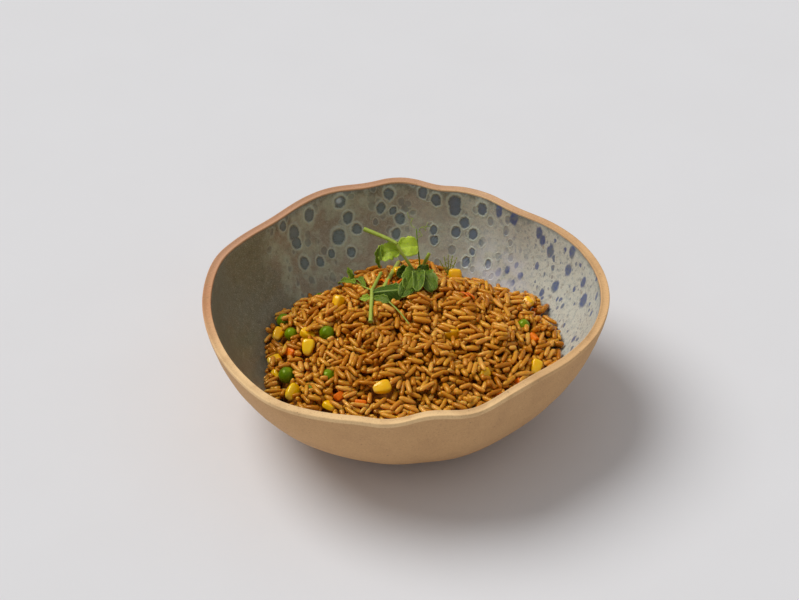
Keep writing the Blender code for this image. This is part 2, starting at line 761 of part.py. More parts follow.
def make_sprig(name, pieces, green):
    """Fuse stems and leaves into one sprig."""
    first = pieces[0]
    join_all(first, pieces[1:], "MANIFOLD")
    first.name = name
    first.data.materials.clear()
    first.data.materials.append(green)
    return first


def make_garnish():
    """Make the pea shoots: the standing shoot, the lying shoot and the feathery tip."""
    green = material("pea shoot", (0.20, 0.38, 0.05), 0.45)
    foot = on_heap(5.4, 42.0, 2.0) / MM
    collar = foot + Vector((0, 0, 1.0))
    standing = [
        stem([foot, (-0.5, 46.0, 53.8), (-4.7, 50.0, 60.4), (-22.2, 55.0, 65.0)], 1.0 * MM, 1.0),
        leaf((-2.0, 47.2, 54.0), (5.0, 49.5, 65.6), 13.0, (0.1, -1.0, 0.4), widest=0.6),
        leaf((-1.5, 46.4, 53.0), (-14.6, 46.5, 57.5), 13.0, (0.1, -1.0, 0.4), fold=0.3,
             widest=0.6),
        stem([collar, (8.2, 48.0, 50.0), (7.6, 53.0, 57.5), (6.4, 58.5, 62.5)], 0.6 * MM, 0.6),
        stem([collar, (9.0, 46.0, 47.8), (13.0, 49.0, 53.0)], 0.95 * MM, 0.9),
        leaf(collar, on_heap(17.5, 38.0, 3.4) / MM, 14.0, (0.1, -0.4, 1.0), cup=0.18,
             widest=0.55),
        leaf(collar, on_heap(3.0, 23.0, 2.4) / MM, 13.0, (-0.2, -0.3, 1.0), widest=0.55),
    ]
    knot = on_heap(-18.0, 23.0, 2.1) / MM
    lying = [
        stem([(-12.6, 42.0, 49.2), knot, on_heap(-17.4, 10.0, 1.9) / MM,
              on_heap(-18.2, -2.0, 1.9) / MM], 0.85 * MM, 0.95),
        leaf(knot, on_heap(-2.2, 20.0, 2.2) / MM, 11.0, (0.0, -0.4, 1.0), fold=0.3),
        stem([knot, on_heap(-24.5, 34.0, 1.7) / MM, on_heap(-29.5, 43.0, 2.6) / MM],
             0.5 * MM, 0.8),
        leaf(on_heap(-25.5, 35.5, 1.8) / MM, on_heap(-36.0, 38.5, 2.2) / MM, 7.5,
             (0.0, -0.3, 1.0)),
        leaf(on_heap(-28.5, 41.0, 2.3) / MM, on_heap(-30.5, 49.0, 9.5) / MM, 5.0,
             (0.3, -0.9, 0.5)),
        stem([knot, on_heap(-10.0, 14.0, 1.7) / MM, on_heap(-1.0, -1.5, 1.4) / MM],
             0.45 * MM, 0.7),
    ]
    root = on_heap(23.0, 56.0, 1.2) / MM
    fronds = ((-4.0, 2.0, 8.2), (-0.4, 2.2, 10.4), (2.6, 2.2, 10.0))
    tip = [stem([root, root + Vector(reach) * 0.5 + Vector((0, -0.6, 0)), root + Vector(reach)],
                TENDRIL_RADIUS, steps=1, roundness=0) for reach in fronds]
    return [make_sprig("shoot_standing", standing, green),
            make_sprig("shoot_lying", lying, green),
            make_sprig("shoot_tip", tip, green)]


def main():
    """Build every piece."""
    clear_scene()
    make_bowl()
    rice = make_rice()
    toppings = make_peas() + make_kernels()
    bpy.context.view_layer.update()
    press_into(rice, toppings)
    make_garnish()


main()
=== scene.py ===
"""Vegetable fried rice in a glazed stoneware bowl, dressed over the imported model.

Numbers in tables are millimetres in the model's own frame: +X right, +Y away from the front, +Z up.
Object data are metres, so MM turns one into the other.
"""
import contextlib
import functools
import math
import random

import bpy
import numpy as np
from bpy.props import FloatProperty, FloatVectorProperty, IntProperty, PointerProperty
from mathutils import Matrix, Vector, noise
from mathutils.bvhtree import BVHTree


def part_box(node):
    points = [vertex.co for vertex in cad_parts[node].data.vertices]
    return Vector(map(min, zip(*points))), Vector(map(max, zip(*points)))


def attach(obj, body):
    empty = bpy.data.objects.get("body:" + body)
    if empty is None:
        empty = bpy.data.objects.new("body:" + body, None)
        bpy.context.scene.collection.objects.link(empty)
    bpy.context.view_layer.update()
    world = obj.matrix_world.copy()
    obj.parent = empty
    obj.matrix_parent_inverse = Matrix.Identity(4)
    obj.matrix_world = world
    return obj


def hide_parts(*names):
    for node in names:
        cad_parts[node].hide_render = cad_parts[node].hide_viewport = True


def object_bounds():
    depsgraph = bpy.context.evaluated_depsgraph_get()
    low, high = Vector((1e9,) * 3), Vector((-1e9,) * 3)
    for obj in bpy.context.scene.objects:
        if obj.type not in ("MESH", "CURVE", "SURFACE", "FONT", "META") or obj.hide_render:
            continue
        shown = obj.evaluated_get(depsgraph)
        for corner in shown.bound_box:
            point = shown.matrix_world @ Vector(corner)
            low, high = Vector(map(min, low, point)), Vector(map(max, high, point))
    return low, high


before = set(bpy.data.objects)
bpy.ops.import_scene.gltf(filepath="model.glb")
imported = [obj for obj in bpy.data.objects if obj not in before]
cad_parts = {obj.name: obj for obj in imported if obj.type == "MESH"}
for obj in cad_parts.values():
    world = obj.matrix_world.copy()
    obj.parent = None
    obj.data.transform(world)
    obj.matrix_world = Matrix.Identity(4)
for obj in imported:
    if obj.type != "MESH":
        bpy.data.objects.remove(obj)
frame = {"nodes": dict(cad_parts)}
CAD_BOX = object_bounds()

bl_info = {
    "name": "Fried rice bowl",
    "version": (1, 0, 0),
    "blender": (4, 5, 0),
    "location": "3D View > Sidebar > Rice Bowl",
    "description": "Glazed stoneware bowl of vegetable fried rice with pea shoots",
    "category": "Object",
}

MM = 0.001
PEA_NODES = [name for name in sorted(frame["nodes"]) if name.startswith("pea_")]
CORN_NODES = [name for name in sorted(frame["nodes"]) if name.startswith("corn_")]

# Carrot dice on the heap: x, y, size, turn in degrees.
CARROT_DICE = (
    (-59.0, -6.0, 5.2, 20), (-33.0, -44.7, 4.8, 50), (-22.4, -50.1, 5.4, 10),
    (-53.0, 37.0, 4.2, 70), (29.2, 22.4, 4.6, 35), (68.5, 27.5, 4.4, 60),
    (35.6, 44.5, 4.6, 15), (-15.9, 51.0, 4.2, 80), (65.5, 0.5, 4.8, 40),
    (57.0, -32.0, 4.4, 65), (45.5, -42.0, 4.2, 25), (8.0, 62.0, 4.2, 45),
    (-10.0, -70.0, 4.6, 30),
)
# Carrot shreds on the heap: x, y, length, turn in degrees, lift of the middle.
CARROT_SHREDS = (
    (-9.5, 34.0, 11.0, 62, 1.6), (-6.0, 31.0, 9.0, 75, 1.2), (-2.5, 35.5, 10.0, 50, 1.5),
    (1.5, 44.0, 9.0, 20, 1.0), (-12.5, 37.5, 8.0, 100, 1.2), (17.0, 45.5, 9.0, -15, 1.0),
    (30.5, 24.5, 8.0, 10, 0.6), (33.5, 26.0, 7.0, -20, 0.6),
)


def swatch(red, green, blue):
    """Return the linear colour of a swatch given as 0 to 255 values."""
    def linear(value):
        value /= 255
        return value / 12.92 if value <= 0.04045 else ((value + 0.055) / 1.055) ** 2.4
    return (linear(red), linear(green), linear(blue), 1.0)


def colour_setting(name, description, default):
    """Return a colour property that shows as a swatch."""
    return FloatVectorProperty(name=name, description=description, subtype="COLOR", size=4,
                               min=0.0, max=1.0, default=default)


def length_setting(name, description, default):
    """Return a length property in metres."""
    return FloatProperty(name=name, description=description, default=default, min=0.0,
                         precision=5, subtype="DISTANCE", unit="LENGTH")


# ---------------------------------------------------------------- settings
class BowlSettings(bpy.types.PropertyGroup):
    clay: colour_setting("Clay", "Bare stoneware outside", swatch(206, 162, 112))
    # The lip's paler colour is painted light: the same clay as the wall, made paler where the lip's
    # top faces the light.
    lip: colour_setting("Lip", "Bare lip, worn paler than the wall", swatch(242, 204, 150))
    warm_lip: colour_setting("Warm lip", "Bare lip where the fire left it redder",
                             swatch(200, 142, 100))
    olive: colour_setting("Olive glaze", "Plain glaze on the left", swatch(132, 128, 108))
    umber: colour_setting("Umber glaze", "Spotted glaze at the back", swatch(159, 148, 130))
    sage: colour_setting("Sage glaze", "Greyer patches of the spotted glaze",
                         swatch(180, 184, 162))
    cream: colour_setting("Cream glaze", "Pale glaze on the right", swatch(203, 204, 192))
    spot: colour_setting("Spots", "Middle of the ringed spots", swatch(112, 130, 138))
    ring: colour_setting("Rings", "Pale ring round a spot", swatch(198, 208, 190))
    blot: colour_setting("Blots", "Blue blots in the cream glaze", swatch(70, 90, 142))
    glaze_gloss: FloatProperty(name="Glaze roughness", description="Roughness of the glaze",
                               default=0.3, min=0.0, max=1.0, subtype="FACTOR")


class RiceSettings(bpy.types.PropertyGroup):
    grain_length: length_setting("Grain length", "Length of a whole cooked grain", 8.4 * MM)
    grain_width: length_setting("Grain width", "Width of a whole cooked grain", 2.9 * MM)
    depth: length_setting("Depth of grains", "From the heap's top to its solid core", 7.5 * MM)
    count: IntProperty(name="Grains", description="Most grains laid on the heap",
                       default=5600, min=0, max=7500)
    seed: IntProperty(name="Seed", description="Draw that places the grains", default=11)
    golden: colour_setting("Golden", "Most of the grains", swatch(206, 140, 32))
    pale: colour_setting("Pale", "Grains the sauce hardly coloured", swatch(219, 155, 58))
    browned: colour_setting("Browned", "Grains browned in the pan", swatch(190, 120, 24))


class VegetableSettings(bpy.types.PropertyGroup):
    pea: colour_setting("Pea", "Skin of a pea", swatch(120, 148, 0))
    corn: colour_setting("Sweetcorn", "Skin of a kernel", swatch(255, 202, 0))
    carrot: colour_setting("Carrot", "Cut carrot", swatch(246, 126, 4))


class ShootSettings(bpy.types.PropertyGroup):
    leaf: colour_setting("Leaf", "Deep green of a lying leaf", swatch(48, 82, 6))
    young: colour_setting("Young leaf", "Yellow green of a standing leaf", swatch(182, 206, 66))
    stem: colour_setting("Stem", "Pale green of a stem", swatch(172, 188, 76))
    thickness: length_setting("Leaf thickness", "Thickness of a leaf", 0.35 * MM)


class StageSettings(bpy.types.PropertyGroup):
    floor: colour_setting("Floor", "Pale table", swatch(226, 227, 231))
    key: FloatProperty(name="Window light", description="Strength of the soft key light",
                       default=2.15, min=0.0)
    fill: FloatProperty(name="Room light", description="Strength of the light all round",
                        default=0.38, min=0.0)


SETTINGS = {
    "bowl_look": BowlSettings,
    "rice_look": RiceSettings,
    "vegetable_look": VegetableSettings,
    "shoot_look": ShootSettings,
    "stage_look": StageSettings,
}


# ---------------------------------------------------------------- modelling helpers
def deselect_all():
    """Leave object mode with nothing selected."""
    if bpy.context.object and bpy.context.object.mode != "OBJECT":
        bpy.ops.object.mode_set(mode="OBJECT")
    bpy.ops.object.select_all(action="DESELECT")


def pick(*items):
    """Select only these objects and make the first one active."""
    deselect_all()
    for item in items:
        item.select_set(True)
    bpy.context.view_layer.objects.active = items[0]
    return items[0]


def add_object(name, mesh):
    """Link a new object that shows a mesh and pick it."""
    made = bpy.data.objects.new(name, mesh)
    bpy.context.scene.collection.objects.link(made)
    return pick(made)


def apply_modifier(item, kind, **settings):
    """Add a modifier, set it up and apply it."""
    pick(item)
    modifier = item.modifiers.new(kind.lower(), kind)
    for name, value in settings.items():
        setattr(modifier, name, value)
    bpy.ops.object.modifier_apply(modifier=modifier.name)


@contextlib.contextmanager
def editing():
    """Work on the whole active mesh in edit mode, then go back to object mode."""
    bpy.ops.object.mode_set(mode="EDIT")
    bpy.ops.mesh.select_all(action="SELECT")
    yield
    bpy.ops.object.mode_set(mode="OBJECT")


def copy_of_node(node, name):
    """Return a new object with a node's mesh, its loose triangles merged."""
    copy = add_object(name, frame["nodes"][node].data.copy())
    copy.data.materials.clear()
    with editing():
        bpy.ops.mesh.remove_doubles(threshold=0.002 * MM)
    return copy


def join(name, items):
    """Join objects into one piece with its place in its mesh."""
    pick(*items)
    bpy.ops.object.transform_apply(location=True, rotation=True, scale=True)
    if len(items) > 1:
        bpy.ops.object.join()
    piece = bpy.context.object
    piece.name = name
    piece.data.name = name
    with editing():
        bpy.ops.mesh.normals_make_consistent(inside=False)
    bpy.ops.object.shade_smooth()
    return piece


def finish_piece(piece, nodes):
    """Let a piece ride on the body and hide the nodes it stands for."""
    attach(piece, "root")
    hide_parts(*nodes)
    deselect_all()


def set_values(mesh, name, values):
    """Store one number for each vertex of a mesh."""
    attribute = mesh.attributes.new(name, "FLOAT", "POINT")
    attribute.data.foreach_set("value", np.asarray(values, dtype=np.float32))


def set_tone(mesh, tone):
    """Store one tone on a whole mesh."""
    set_values(mesh, "tone", np.full(len(mesh.vertices), tone))


def noise_seed(draw, draws=3):
    """Return a place in the noise for one item, from so many draws."""
    return Vector([draw.uniform(0, 50) for _ in range(draws)] + [0.0] * (3 - draws))


def vertex_array(mesh):
    """Return a mesh's vertices as rows of x, y, z."""
    flat = np.empty(len(mesh.vertices) * 3, dtype=np.float64)
    mesh.vertices.foreach_get("co", flat)
    return flat.reshape(-1, 3)


def put_vertices(mesh, rows):
    """Move a mesh's vertices to rows of x, y, z."""
    mesh.vertices.foreach_set("co", np.asarray(rows, dtype=np.float32).ravel())
    mesh.update()


# ---------------------------------------------------------------- shader helpers
class Nodes:
    """Fills a shader node tree. Each method adds a node and returns what comes out of it."""

    def __init__(self, tree):
        self.tree = tree

    def put(self, socket, value):
        """Join a socket to another one, or set its value."""
        if isinstance(value, bpy.types.NodeSocket):
            self.tree.links.new(value, socket)
        else:
            socket.default_value = value

    def add(self, kind, inputs=(), out=0, **settings):
        """Add a node of a kind; inputs maps socket names or numbers to values or sockets."""
        node = self.tree.nodes.new("ShaderNode" + kind)
        for name, value in settings.items():
            setattr(node, name, value)
        for name, value in dict(inputs).items():
            self.put(node.inputs[name], value)
        return node.outputs[out]

    def place(self):
        """Return the place on the object in millimetres."""
        here = self.add("TexCoord", out="Object")
        return self.add("VectorMath", {0: here, "Scale": 1 / MM}, operation="SCALE")

    def value(self, name):
        """Return a number stored on the piece."""
        return self.add("Attribute", out="Fac", attribute_name=name)

    def math(self, operation, first, second=0.0, third=0.0):
        """Return the result of a sum or another operation on numbers."""
        return self.add("Math", {0: first, 1: second, 2: third}, operation=operation)

    def times(self, *factors):
        """Return the product of some numbers."""
        return functools.reduce(lambda first, second: self.math("MULTIPLY", first, second),
                                factors)

    def mix(self, first, second, *shares):
        """Return a colour with a second one laid over it by the product of some shares."""
        return self.add("Mix", {0: self.times(*shares), 6: first, 7: second}, out=2,
                        data_type="RGBA")

    def step(self, value, low, high):
        """Return a smooth step from 0 at low to 1 at high."""
        return self.add("MapRange", {"Value": value, "From Min": low, "From Max": high},
                        interpolation_type="SMOOTHSTEP")

    def noise(self, place, size, detail=2.0, out="Fac", roughness=0.5):
        """Return noise whose lumps are about size mm across."""
        return self.add("TexNoise", {"Vector": place, "Scale": 1 / size, "Detail": detail,
                                     "Roughness": roughness}, out=out)

    def shift(self, place, push):
        """Return a place moved by a push."""
        return self.add("VectorMath", {0: place, 1: push}, operation="ADD")

    def warp(self, place, size, amount):
        """Return a place pushed about by noise."""
        push = self.shift(self.noise(place, size, out="Color"), (-0.5, -0.5, -0.5))
        push = self.add("VectorMath", {0: push, "Scale": 2 * amount}, operation="SCALE")
        return self.shift(place, push)

    def distance(self, place, point):
        """Return how far a place is from a point."""
        return self.add("VectorMath", {0: place, 1: point}, out="Value", operation="DISTANCE")

    def cells(self, place, spacing):
        """Return the distance to the nearest seed in cell sizes, and three numbers it drew."""
        scale = self.math("DIVIDE", 1.0, spacing)
        seeds = self.add("TexVoronoi", {"Vector": place, "Scale": scale})
        return seeds, self.add("SeparateColor",
                               {"Color": seeds.node.outputs["Color"]}).node.outputs

    def bump(self, height, distance, normal=None, strength=1.0):
        """Return a normal bent by a height that spans distance in mm."""
        inputs = {"Height": height, "Distance": distance * MM, "Strength": strength}
        if normal is not None:
            inputs["Normal"] = normal
        return self.add("Bump", inputs)

    def use(self, group, inputs, out=0):
        """Place a shared node group."""
        node = self.tree.nodes.new("ShaderNodeGroup")
        node.node_tree = group
        for name, value in inputs.items():
            self.put(node.inputs[name], value)
        return node.outputs[out]


def new_material(name):
    """Return a material, the filler of its nodes and its Principled shader."""
    made = bpy.data.materials.new(name)
    made.use_nodes = True
    return made, Nodes(made.node_tree), made.node_tree.nodes["Principled BSDF"]


def new_group(name, inputs, outputs):
    """Return a node group, the filler of its nodes, its inner sockets and its output sockets.

    The inputs map a label to a number, or to None for a place. All outputs are numbers.
    """
    group = bpy.data.node_groups.new(name, "ShaderNodeTree")
    for label, default in inputs.items():
        kind = "NodeSocketVector" if default is None else "NodeSocketFloat"
        socket = group.interface.new_socket(label, in_out="INPUT", socket_type=kind)
        if default is not None:
            socket.default_value = default
    for label in outputs:
        group.interface.new_socket(label, in_out="OUTPUT", socket_type="NodeSocketFloat")
    inside = group.nodes.new("NodeGroupInput").outputs
    outside = group.nodes.new("NodeGroupOutput").inputs
    return group, Nodes(group), inside, outside


def shared_group(make):
    """Let a function that makes a node group of a given name find that group again."""
    @functools.wraps(make)
    def find_or_make():
        name = make.__name__.replace("_", " ")
        return bpy.data.node_groups.get(name) or make(name)
    return find_or_make


@shared_group
def fine_specks(name):
    """Pepper a surface with fine specks of uneven size."""
    group, nodes, inside, outside = new_group(
        name, {"Place": None, "Spacing": 2.0, "Size": 0.2}, ("Specks", "Draw"))
    seeds, draws = nodes.cells(inside["Place"], inside["Spacing"])
    radius = nodes.times(inside["Size"], draws[0])
    nodes.put(outside["Specks"], nodes.step(seeds, radius, nodes.times(radius, 0.6)))
    nodes.put(outside["Draw"], draws[1])
    return group


@shared_group
def oily_film(name):
    """Spread a thin uneven film of oil: a roughness between dry and wet."""
    group, nodes, inside, outside = new_group(
        name, {"Place": None, "Dry": 0.5, "Wet": 0.2, "Size": 1.5}, ("Roughness",))
    scale = nodes.math("DIVIDE", 1.0, inside["Size"])
    lumps = nodes.add("TexNoise", {"Vector": inside["Place"], "Scale": scale, "Detail": 3.0})
    share = nodes.step(lumps, 0.35, 0.65)
    wet = nodes.times(inside["Wet"], share)
    dry = nodes.times(inside["Dry"], nodes.math("SUBTRACT", 1.0, share))
    nodes.put(outside["Roughness"], nodes.math("ADD", wet, dry))
    return group


def film_on(nodes, place, dry, wet, size):
    """Return the roughness of a film of oil whose drops are about size mm across."""
    return nodes.use(oily_film(), {"Place": place, "Dry": dry, "Wet": wet, "Size": size})


def cover(nodes, shader, colour, roughness, normal):
    """Give a skin its colour, its roughness and its normal."""
    nodes.put(shader.inputs["Base Color"], colour)
    nodes.put(shader.inputs["Roughness"], roughness)
    nodes.put(shader.inputs["Normal"], normal)


FOOD_SHEEN = swatch(255, 238, 200)      # the frying oil warms what the food mirrors


def shine(shader, level, tint=FOOD_SHEEN):
    """Set how strongly a skin mirrors, and the tint of what it mirrors."""
    shader.inputs["Specular IOR Level"].default_value = level
    shader.inputs["Specular Tint"].default_value = tint


def soak(shader, share, depth, radius):
    """Let a share of the light soak depth mm into a skin, red, green and blue by radius."""
    shader.inputs["Subsurface Weight"].default_value = share
    shader.inputs["Subsurface Scale"].default_value = depth * MM
    shader.inputs["Subsurface Radius"].default_value = radius


# ---------------------------------------------------------------- places seen in the view
CAMERA_HEIGHT_ANGLE = math.radians(38)
CAMERA_PLACE = (-3.36, -789.95, 677.47)     # mm
CAMERA_LENS = 89.46                         # mm on a 36 mm sensor
VIEW_SIZE = (799, 600)                      # columns and rows
VIEW_REACH = CAMERA_LENS / 36 * VIEW_SIZE[0]


def view_way(column, row):
    """Return the way from the camera to a place in the view, VIEW_REACH long along its axis."""
    fall, level = math.sin(CAMERA_HEIGHT_ANGLE), math.cos(CAMERA_HEIGHT_ANGLE)
    aside, rise = column - VIEW_SIZE[0] / 2, VIEW_SIZE[1] / 2 - row
    return Vector((aside, VIEW_REACH * level + rise * fall, rise * level - VIEW_REACH * fall))


def seen_at(column, row, y):
    """Return the point in metres that shows at a place in the view and lies y mm back."""
    eye, way = Vector(CAMERA_PLACE), view_way(column, row)
    return (eye + way * ((y - eye.y) / way.y)) * MM


@functools.cache
def bowl_tree():
    """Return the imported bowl's faces, ready to be met by rays."""
    mesh = frame["nodes"]["bowl"].data
    return BVHTree.FromPolygons([vert.co.copy() for vert in mesh.vertices],
                                [list(face.vertices) for face in mesh.polygons])


def wall_seen(column, row):
    """Return the point in mm on the bowl at a place in the view."""
    eye = Vector(CAMERA_PLACE) * MM
    point = bowl_tree().ray_cast(eye, view_way(column, row).normalized())[0]
    if point is None:
        raise ValueError(f"nothing of the bowl shows at {column}, {row}")
    return point / MM


# ---------------------------------------------------------------- bowl
OLIVE_HEADING = math.radians(192)   # middle of the plain glaze, seen from above
CREAM_HEADING = math.radians(-4)    # middle of the cream glaze
REFLECTION_PLACE = (40.0, 50.0, 34.0)    # mm, middle of the painted reflection of the window by the rice
GLAZE_LINE = 0.9                    # mm below the lip's crest where the glaze ends
WARM_HEADING = math.radians(140)    # side whose lip the fire left redder
AWAY_HEADING = math.radians(100)    # side whose lip has a greyer outer stripe
WALL_RADIUS = 88.0                  # mm, the inside wall's usual distance from the axis
LIP_SLOTS = 160                     # places round the bowl where the lip's height is read
SMOOTHING_PASSES = 2
FOOT_ZONE = 6 * MM                  # below this all is foot
STANDING_ZONE = 20 * MM             # below this the foot is let down onto the table
FLOOR_RADIUS = 60 * MM              # of the bowl's inner floor
RING_HEIGHT = 0.16                  # mm, of the throwing rings
RING_RADIAN = 1.35                  # mm of height for each radian of their wave
HAND_HEIGHT = 0.35                  # mm, of the unevenness left by hands
MARKS_INWARD = 0.15 * MM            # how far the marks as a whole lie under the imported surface
MARKS_SHARE = 0.55                  # share of their height that is left after smoothing
SPOT_SQUEEZE = 0.85                 # under 1 draws the spots out down the wall
BLOT_SQUEEZE = 0.7
HIDDEN_WALL = (-10.0, -30.0)        # y in mm from where on the front wall hides its inside
FAR_OFF = 9.0                       # spot radii, further than any place on the wall needs
CLAY_ROUGHNESS = 0.85
# Tints in the glaze, in the order they are painted.
BLUE_CLOUDS = swatch(138, 152, 156)
RAN_THIN = swatch(104, 108, 92)
POOLED = swatch(96, 104, 100)
DARK_LUMPS = swatch(70, 60, 46)
PALE_LUMPS = swatch(206, 202, 180)
PALE_GRAIN = swatch(226, 222, 204)
DARK_GRAIN = swatch(64, 62, 52)
DEEP_SPOT = swatch(60, 72, 72)
# Painted highlight: the pale blue of the light mirrored on one spot.
PAINTED_HIGHLIGHT = swatch(214, 232, 240)
DULL_BLOT = swatch(112, 122, 122)
GREY_BLOT = swatch(104, 116, 132)
BLUE_SPECK = swatch(88, 104, 136)
# Painted reflection: the window's pale milky light on the glaze by the rice.
PAINTED_REFLECTION = swatch(214, 214, 226)
BURNT_EDGE = swatch(112, 80, 56)
# Tints in the bare clay.
OUTER_STRIPE = swatch(186, 138, 114)
RIGHT_LIP = swatch(200, 152, 100)
INNER_STRIPE = swatch(160, 112, 74)
CLAY_CLOUDS = swatch(150, 108, 74)
DARK_SAND = swatch(120, 84, 56)
PALE_SAND = swatch(240, 208, 160)
IRON_SPECK = swatch(104, 70, 44)
# Layers of ringed spots: spacing in mm, radius as a share of it, share left out, strength,
# whether they fill only the wall that the camera doesn't see.
SPOT_LAYERS = ((5.6, 0.42, 0.30, 0.50, False), (10.5, 0.41, 0.25, 0.9, True))
# Layers of blue blots: spacing in mm, largest radius as a share of it, share left out, the same.
BLOT_LAYERS = ((4.2, 0.30, 0.40, False), (12.0, 0.33, 0.15, True))
# Layers of specks in the cream glaze: spacing in mm, largest size as a share of it, strength.
SPECK_LAYERS = ((1.7, 0.46, 0.60), (3.1, 0.36, 0.75))
# The clearest ringed spots: column and row where they show in the view, radius in mm.
SPOTS_SEEN = (
    (310, 215, 3.8), (294, 233, 4.4), (297, 243, 3.5), (283, 226, 3.0), (339, 237, 4.8),
    (305, 263, 4.0), (321, 262, 3.2), (332, 253, 2.6), (340, 202, 3.6), (348, 218, 3.6),
    (357, 229, 3.4), (400, 219, 3.6), (381, 208, 3.2), (389, 194, 3.4), (423, 193, 3.0),
    (436, 200, 3.4), (393, 211, 2.4), (396, 234, 3.4), (434, 230, 2.6), (434, 240, 3.0),
    (455, 203, 4.2), (455, 210, 3.8), (482, 209, 3.6), (464, 223, 3.4), (456, 232, 3.2),
    (473, 234, 3.4), (472, 252, 2.4), (466, 262, 3.2), (488, 264, 2.8), (352, 252, 3.2),
)
HIGHLIGHT_SPOT = (339, 201)            # the spot that carries the painted pale blue highlight
# The clearest blots on the cream side, in the same way.
BLOTS_SEEN = (
    (498, 272, 1.9), (507, 270, 1.8), (520, 276, 1.9), (512, 283, 1.7), (516, 265, 1.3),
    (539, 233, 2.4), (542, 240, 2.2), (550, 251, 2.6), (572, 252, 2.6), (568, 270, 2.6),
    (555, 286, 2.8), (583, 282, 2.4), (583, 300, 3.2), (596, 296, 1.8), (541, 293, 1.8),
    (562, 306, 1.4), (591, 313, 1.4), (573, 339, 1.8), (499, 211, 2.6), (514, 218, 2.8),
)


def heading_share(nodes, place, heading, low, high):
    """Return how far a place lies towards a heading about the bowl's axis."""
    flat = nodes.add("VectorMath", {0: place, 1: (1, 1, 0)}, operation="MULTIPLY")
    flat = nodes.add("VectorMath", {0: flat}, operation="NORMALIZE")
    towards = (math.cos(heading), math.sin(heading), 0)
    along = nodes.add("VectorMath", {0: flat, 1: towards}, out="Value", operation="DOT_PRODUCT")
    return nodes.step(along, low, high)


def on_wall(nodes, place, squeeze):
    """Return a place measured round the wall and down it, so that spots there run downhill."""
    flat = nodes.add("VectorMath", {0: place, 1: (1, 1, 0)}, operation="MULTIPLY")
    radius = nodes.add("VectorMath", {0: flat}, out="Value", operation="LENGTH")
    around = nodes.add("VectorMath", {0: flat}, operation="NORMALIZE")
    around = nodes.add("VectorMath", {0: around, "Scale": WALL_RADIUS}, operation="SCALE")
    high = nodes.add("SeparateXYZ", {0: place}, out="Z")
    down = nodes.math("ADD", nodes.times(high, 0.8 * squeeze), nodes.times(radius, 0.6 * squeeze))
    return nodes.shift(around, nodes.add("CombineXYZ", {"Z": down}))


def point_on_wall(point, squeeze):
    """Return a point in mm measured the same way as on_wall does."""
    radius = point.xy.length
    return (point.x / radius * WALL_RADIUS, point.y / radius * WALL_RADIUS,
            (0.8 * point.z + 0.6 * radius) * squeeze)


def nearest_seen(nodes, wall, seen, squeeze):
    """Return the distance to the nearest of the spots seen, 1 at that spot's edge."""
    nearest = FAR_OFF
    for column, row, radius in seen:
        far = nodes.distance(wall, point_on_wall(wall_seen(column, row), squeeze))
        nearest = nodes.math("MINIMUM", nodes.math("DIVIDE", far, radius), nearest)
    return nearest


@shared_group
def spot_profile(name):
    """Turn a distance into a spot's middle and its pale ring."""
    group, nodes, inside, outside = new_group(name, {"Far": 1.0, "Place": None},
                                              ("Middle", "Ring"))
    wobble = nodes.math("MULTIPLY_ADD", nodes.noise(inside["Place"], 1.5, detail=3.0), 0.20, -0.10)
    far = nodes.math("ADD", inside["Far"], wobble)
    nodes.put(outside["Middle"], nodes.step(far, 0.90, 0.62))
    nodes.put(outside["Ring"], nodes.times(nodes.step(far, 0.70, 0.90),
                                           nodes.step(far, 1.24, 0.94)))
    return group


def scattered(nodes, bent, inside, spread, least):
    """Return the distance to the nearest seed in its own radii, if it's left in, and a draw."""
    seeds, draws = nodes.cells(bent, inside["Spacing"])
    reach = nodes.times(inside["Reach"], nodes.math("MULTIPLY_ADD", draws[0], spread, least))
    present = nodes.math("GREATER_THAN", draws[1], inside["Left Out"])
    return nodes.math("DIVIDE", seeds, reach), present, draws[2]


SCATTER = {"Place": None, "Spacing": 9.0, "Reach": 0.4, "Left Out": 0.3}


@shared_group
def ringed_spots(name):
    """Scatter soft ringed spots: masks of their middles and rings."""
    group, nodes, inside, outside = new_group(name, SCATTER, ("Middle", "Ring", "Draw"))
    bent = nodes.warp(inside["Place"], 4.5, 1.1)
    far, present, draw = scattered(nodes, bent, inside, 0.5, 0.75)
    middle = nodes.use(spot_profile(), {"Far": far, "Place": inside["Place"]})
    nodes.put(outside["Middle"], nodes.times(middle, present))
    nodes.put(outside["Ring"], nodes.times(middle.node.outputs["Ring"], present))
    nodes.put(outside["Draw"], draw)
    return group


@shared_group
def runny_blots(name):
    """Scatter blots of very uneven size with soft edges."""
    group, nodes, inside, outside = new_group(name, SCATTER, ("Blots", "Draw"))
    bent = nodes.warp(nodes.warp(inside["Place"], 5.0, 1.4), 1.6, 0.6)
    far, present, draw = scattered(nodes, bent, inside, 0.8, 0.35)
    nodes.put(outside["Blots"], nodes.times(nodes.step(far, 1.05, 0.72), present))
    nodes.put(outside["Draw"], draw)
    return group


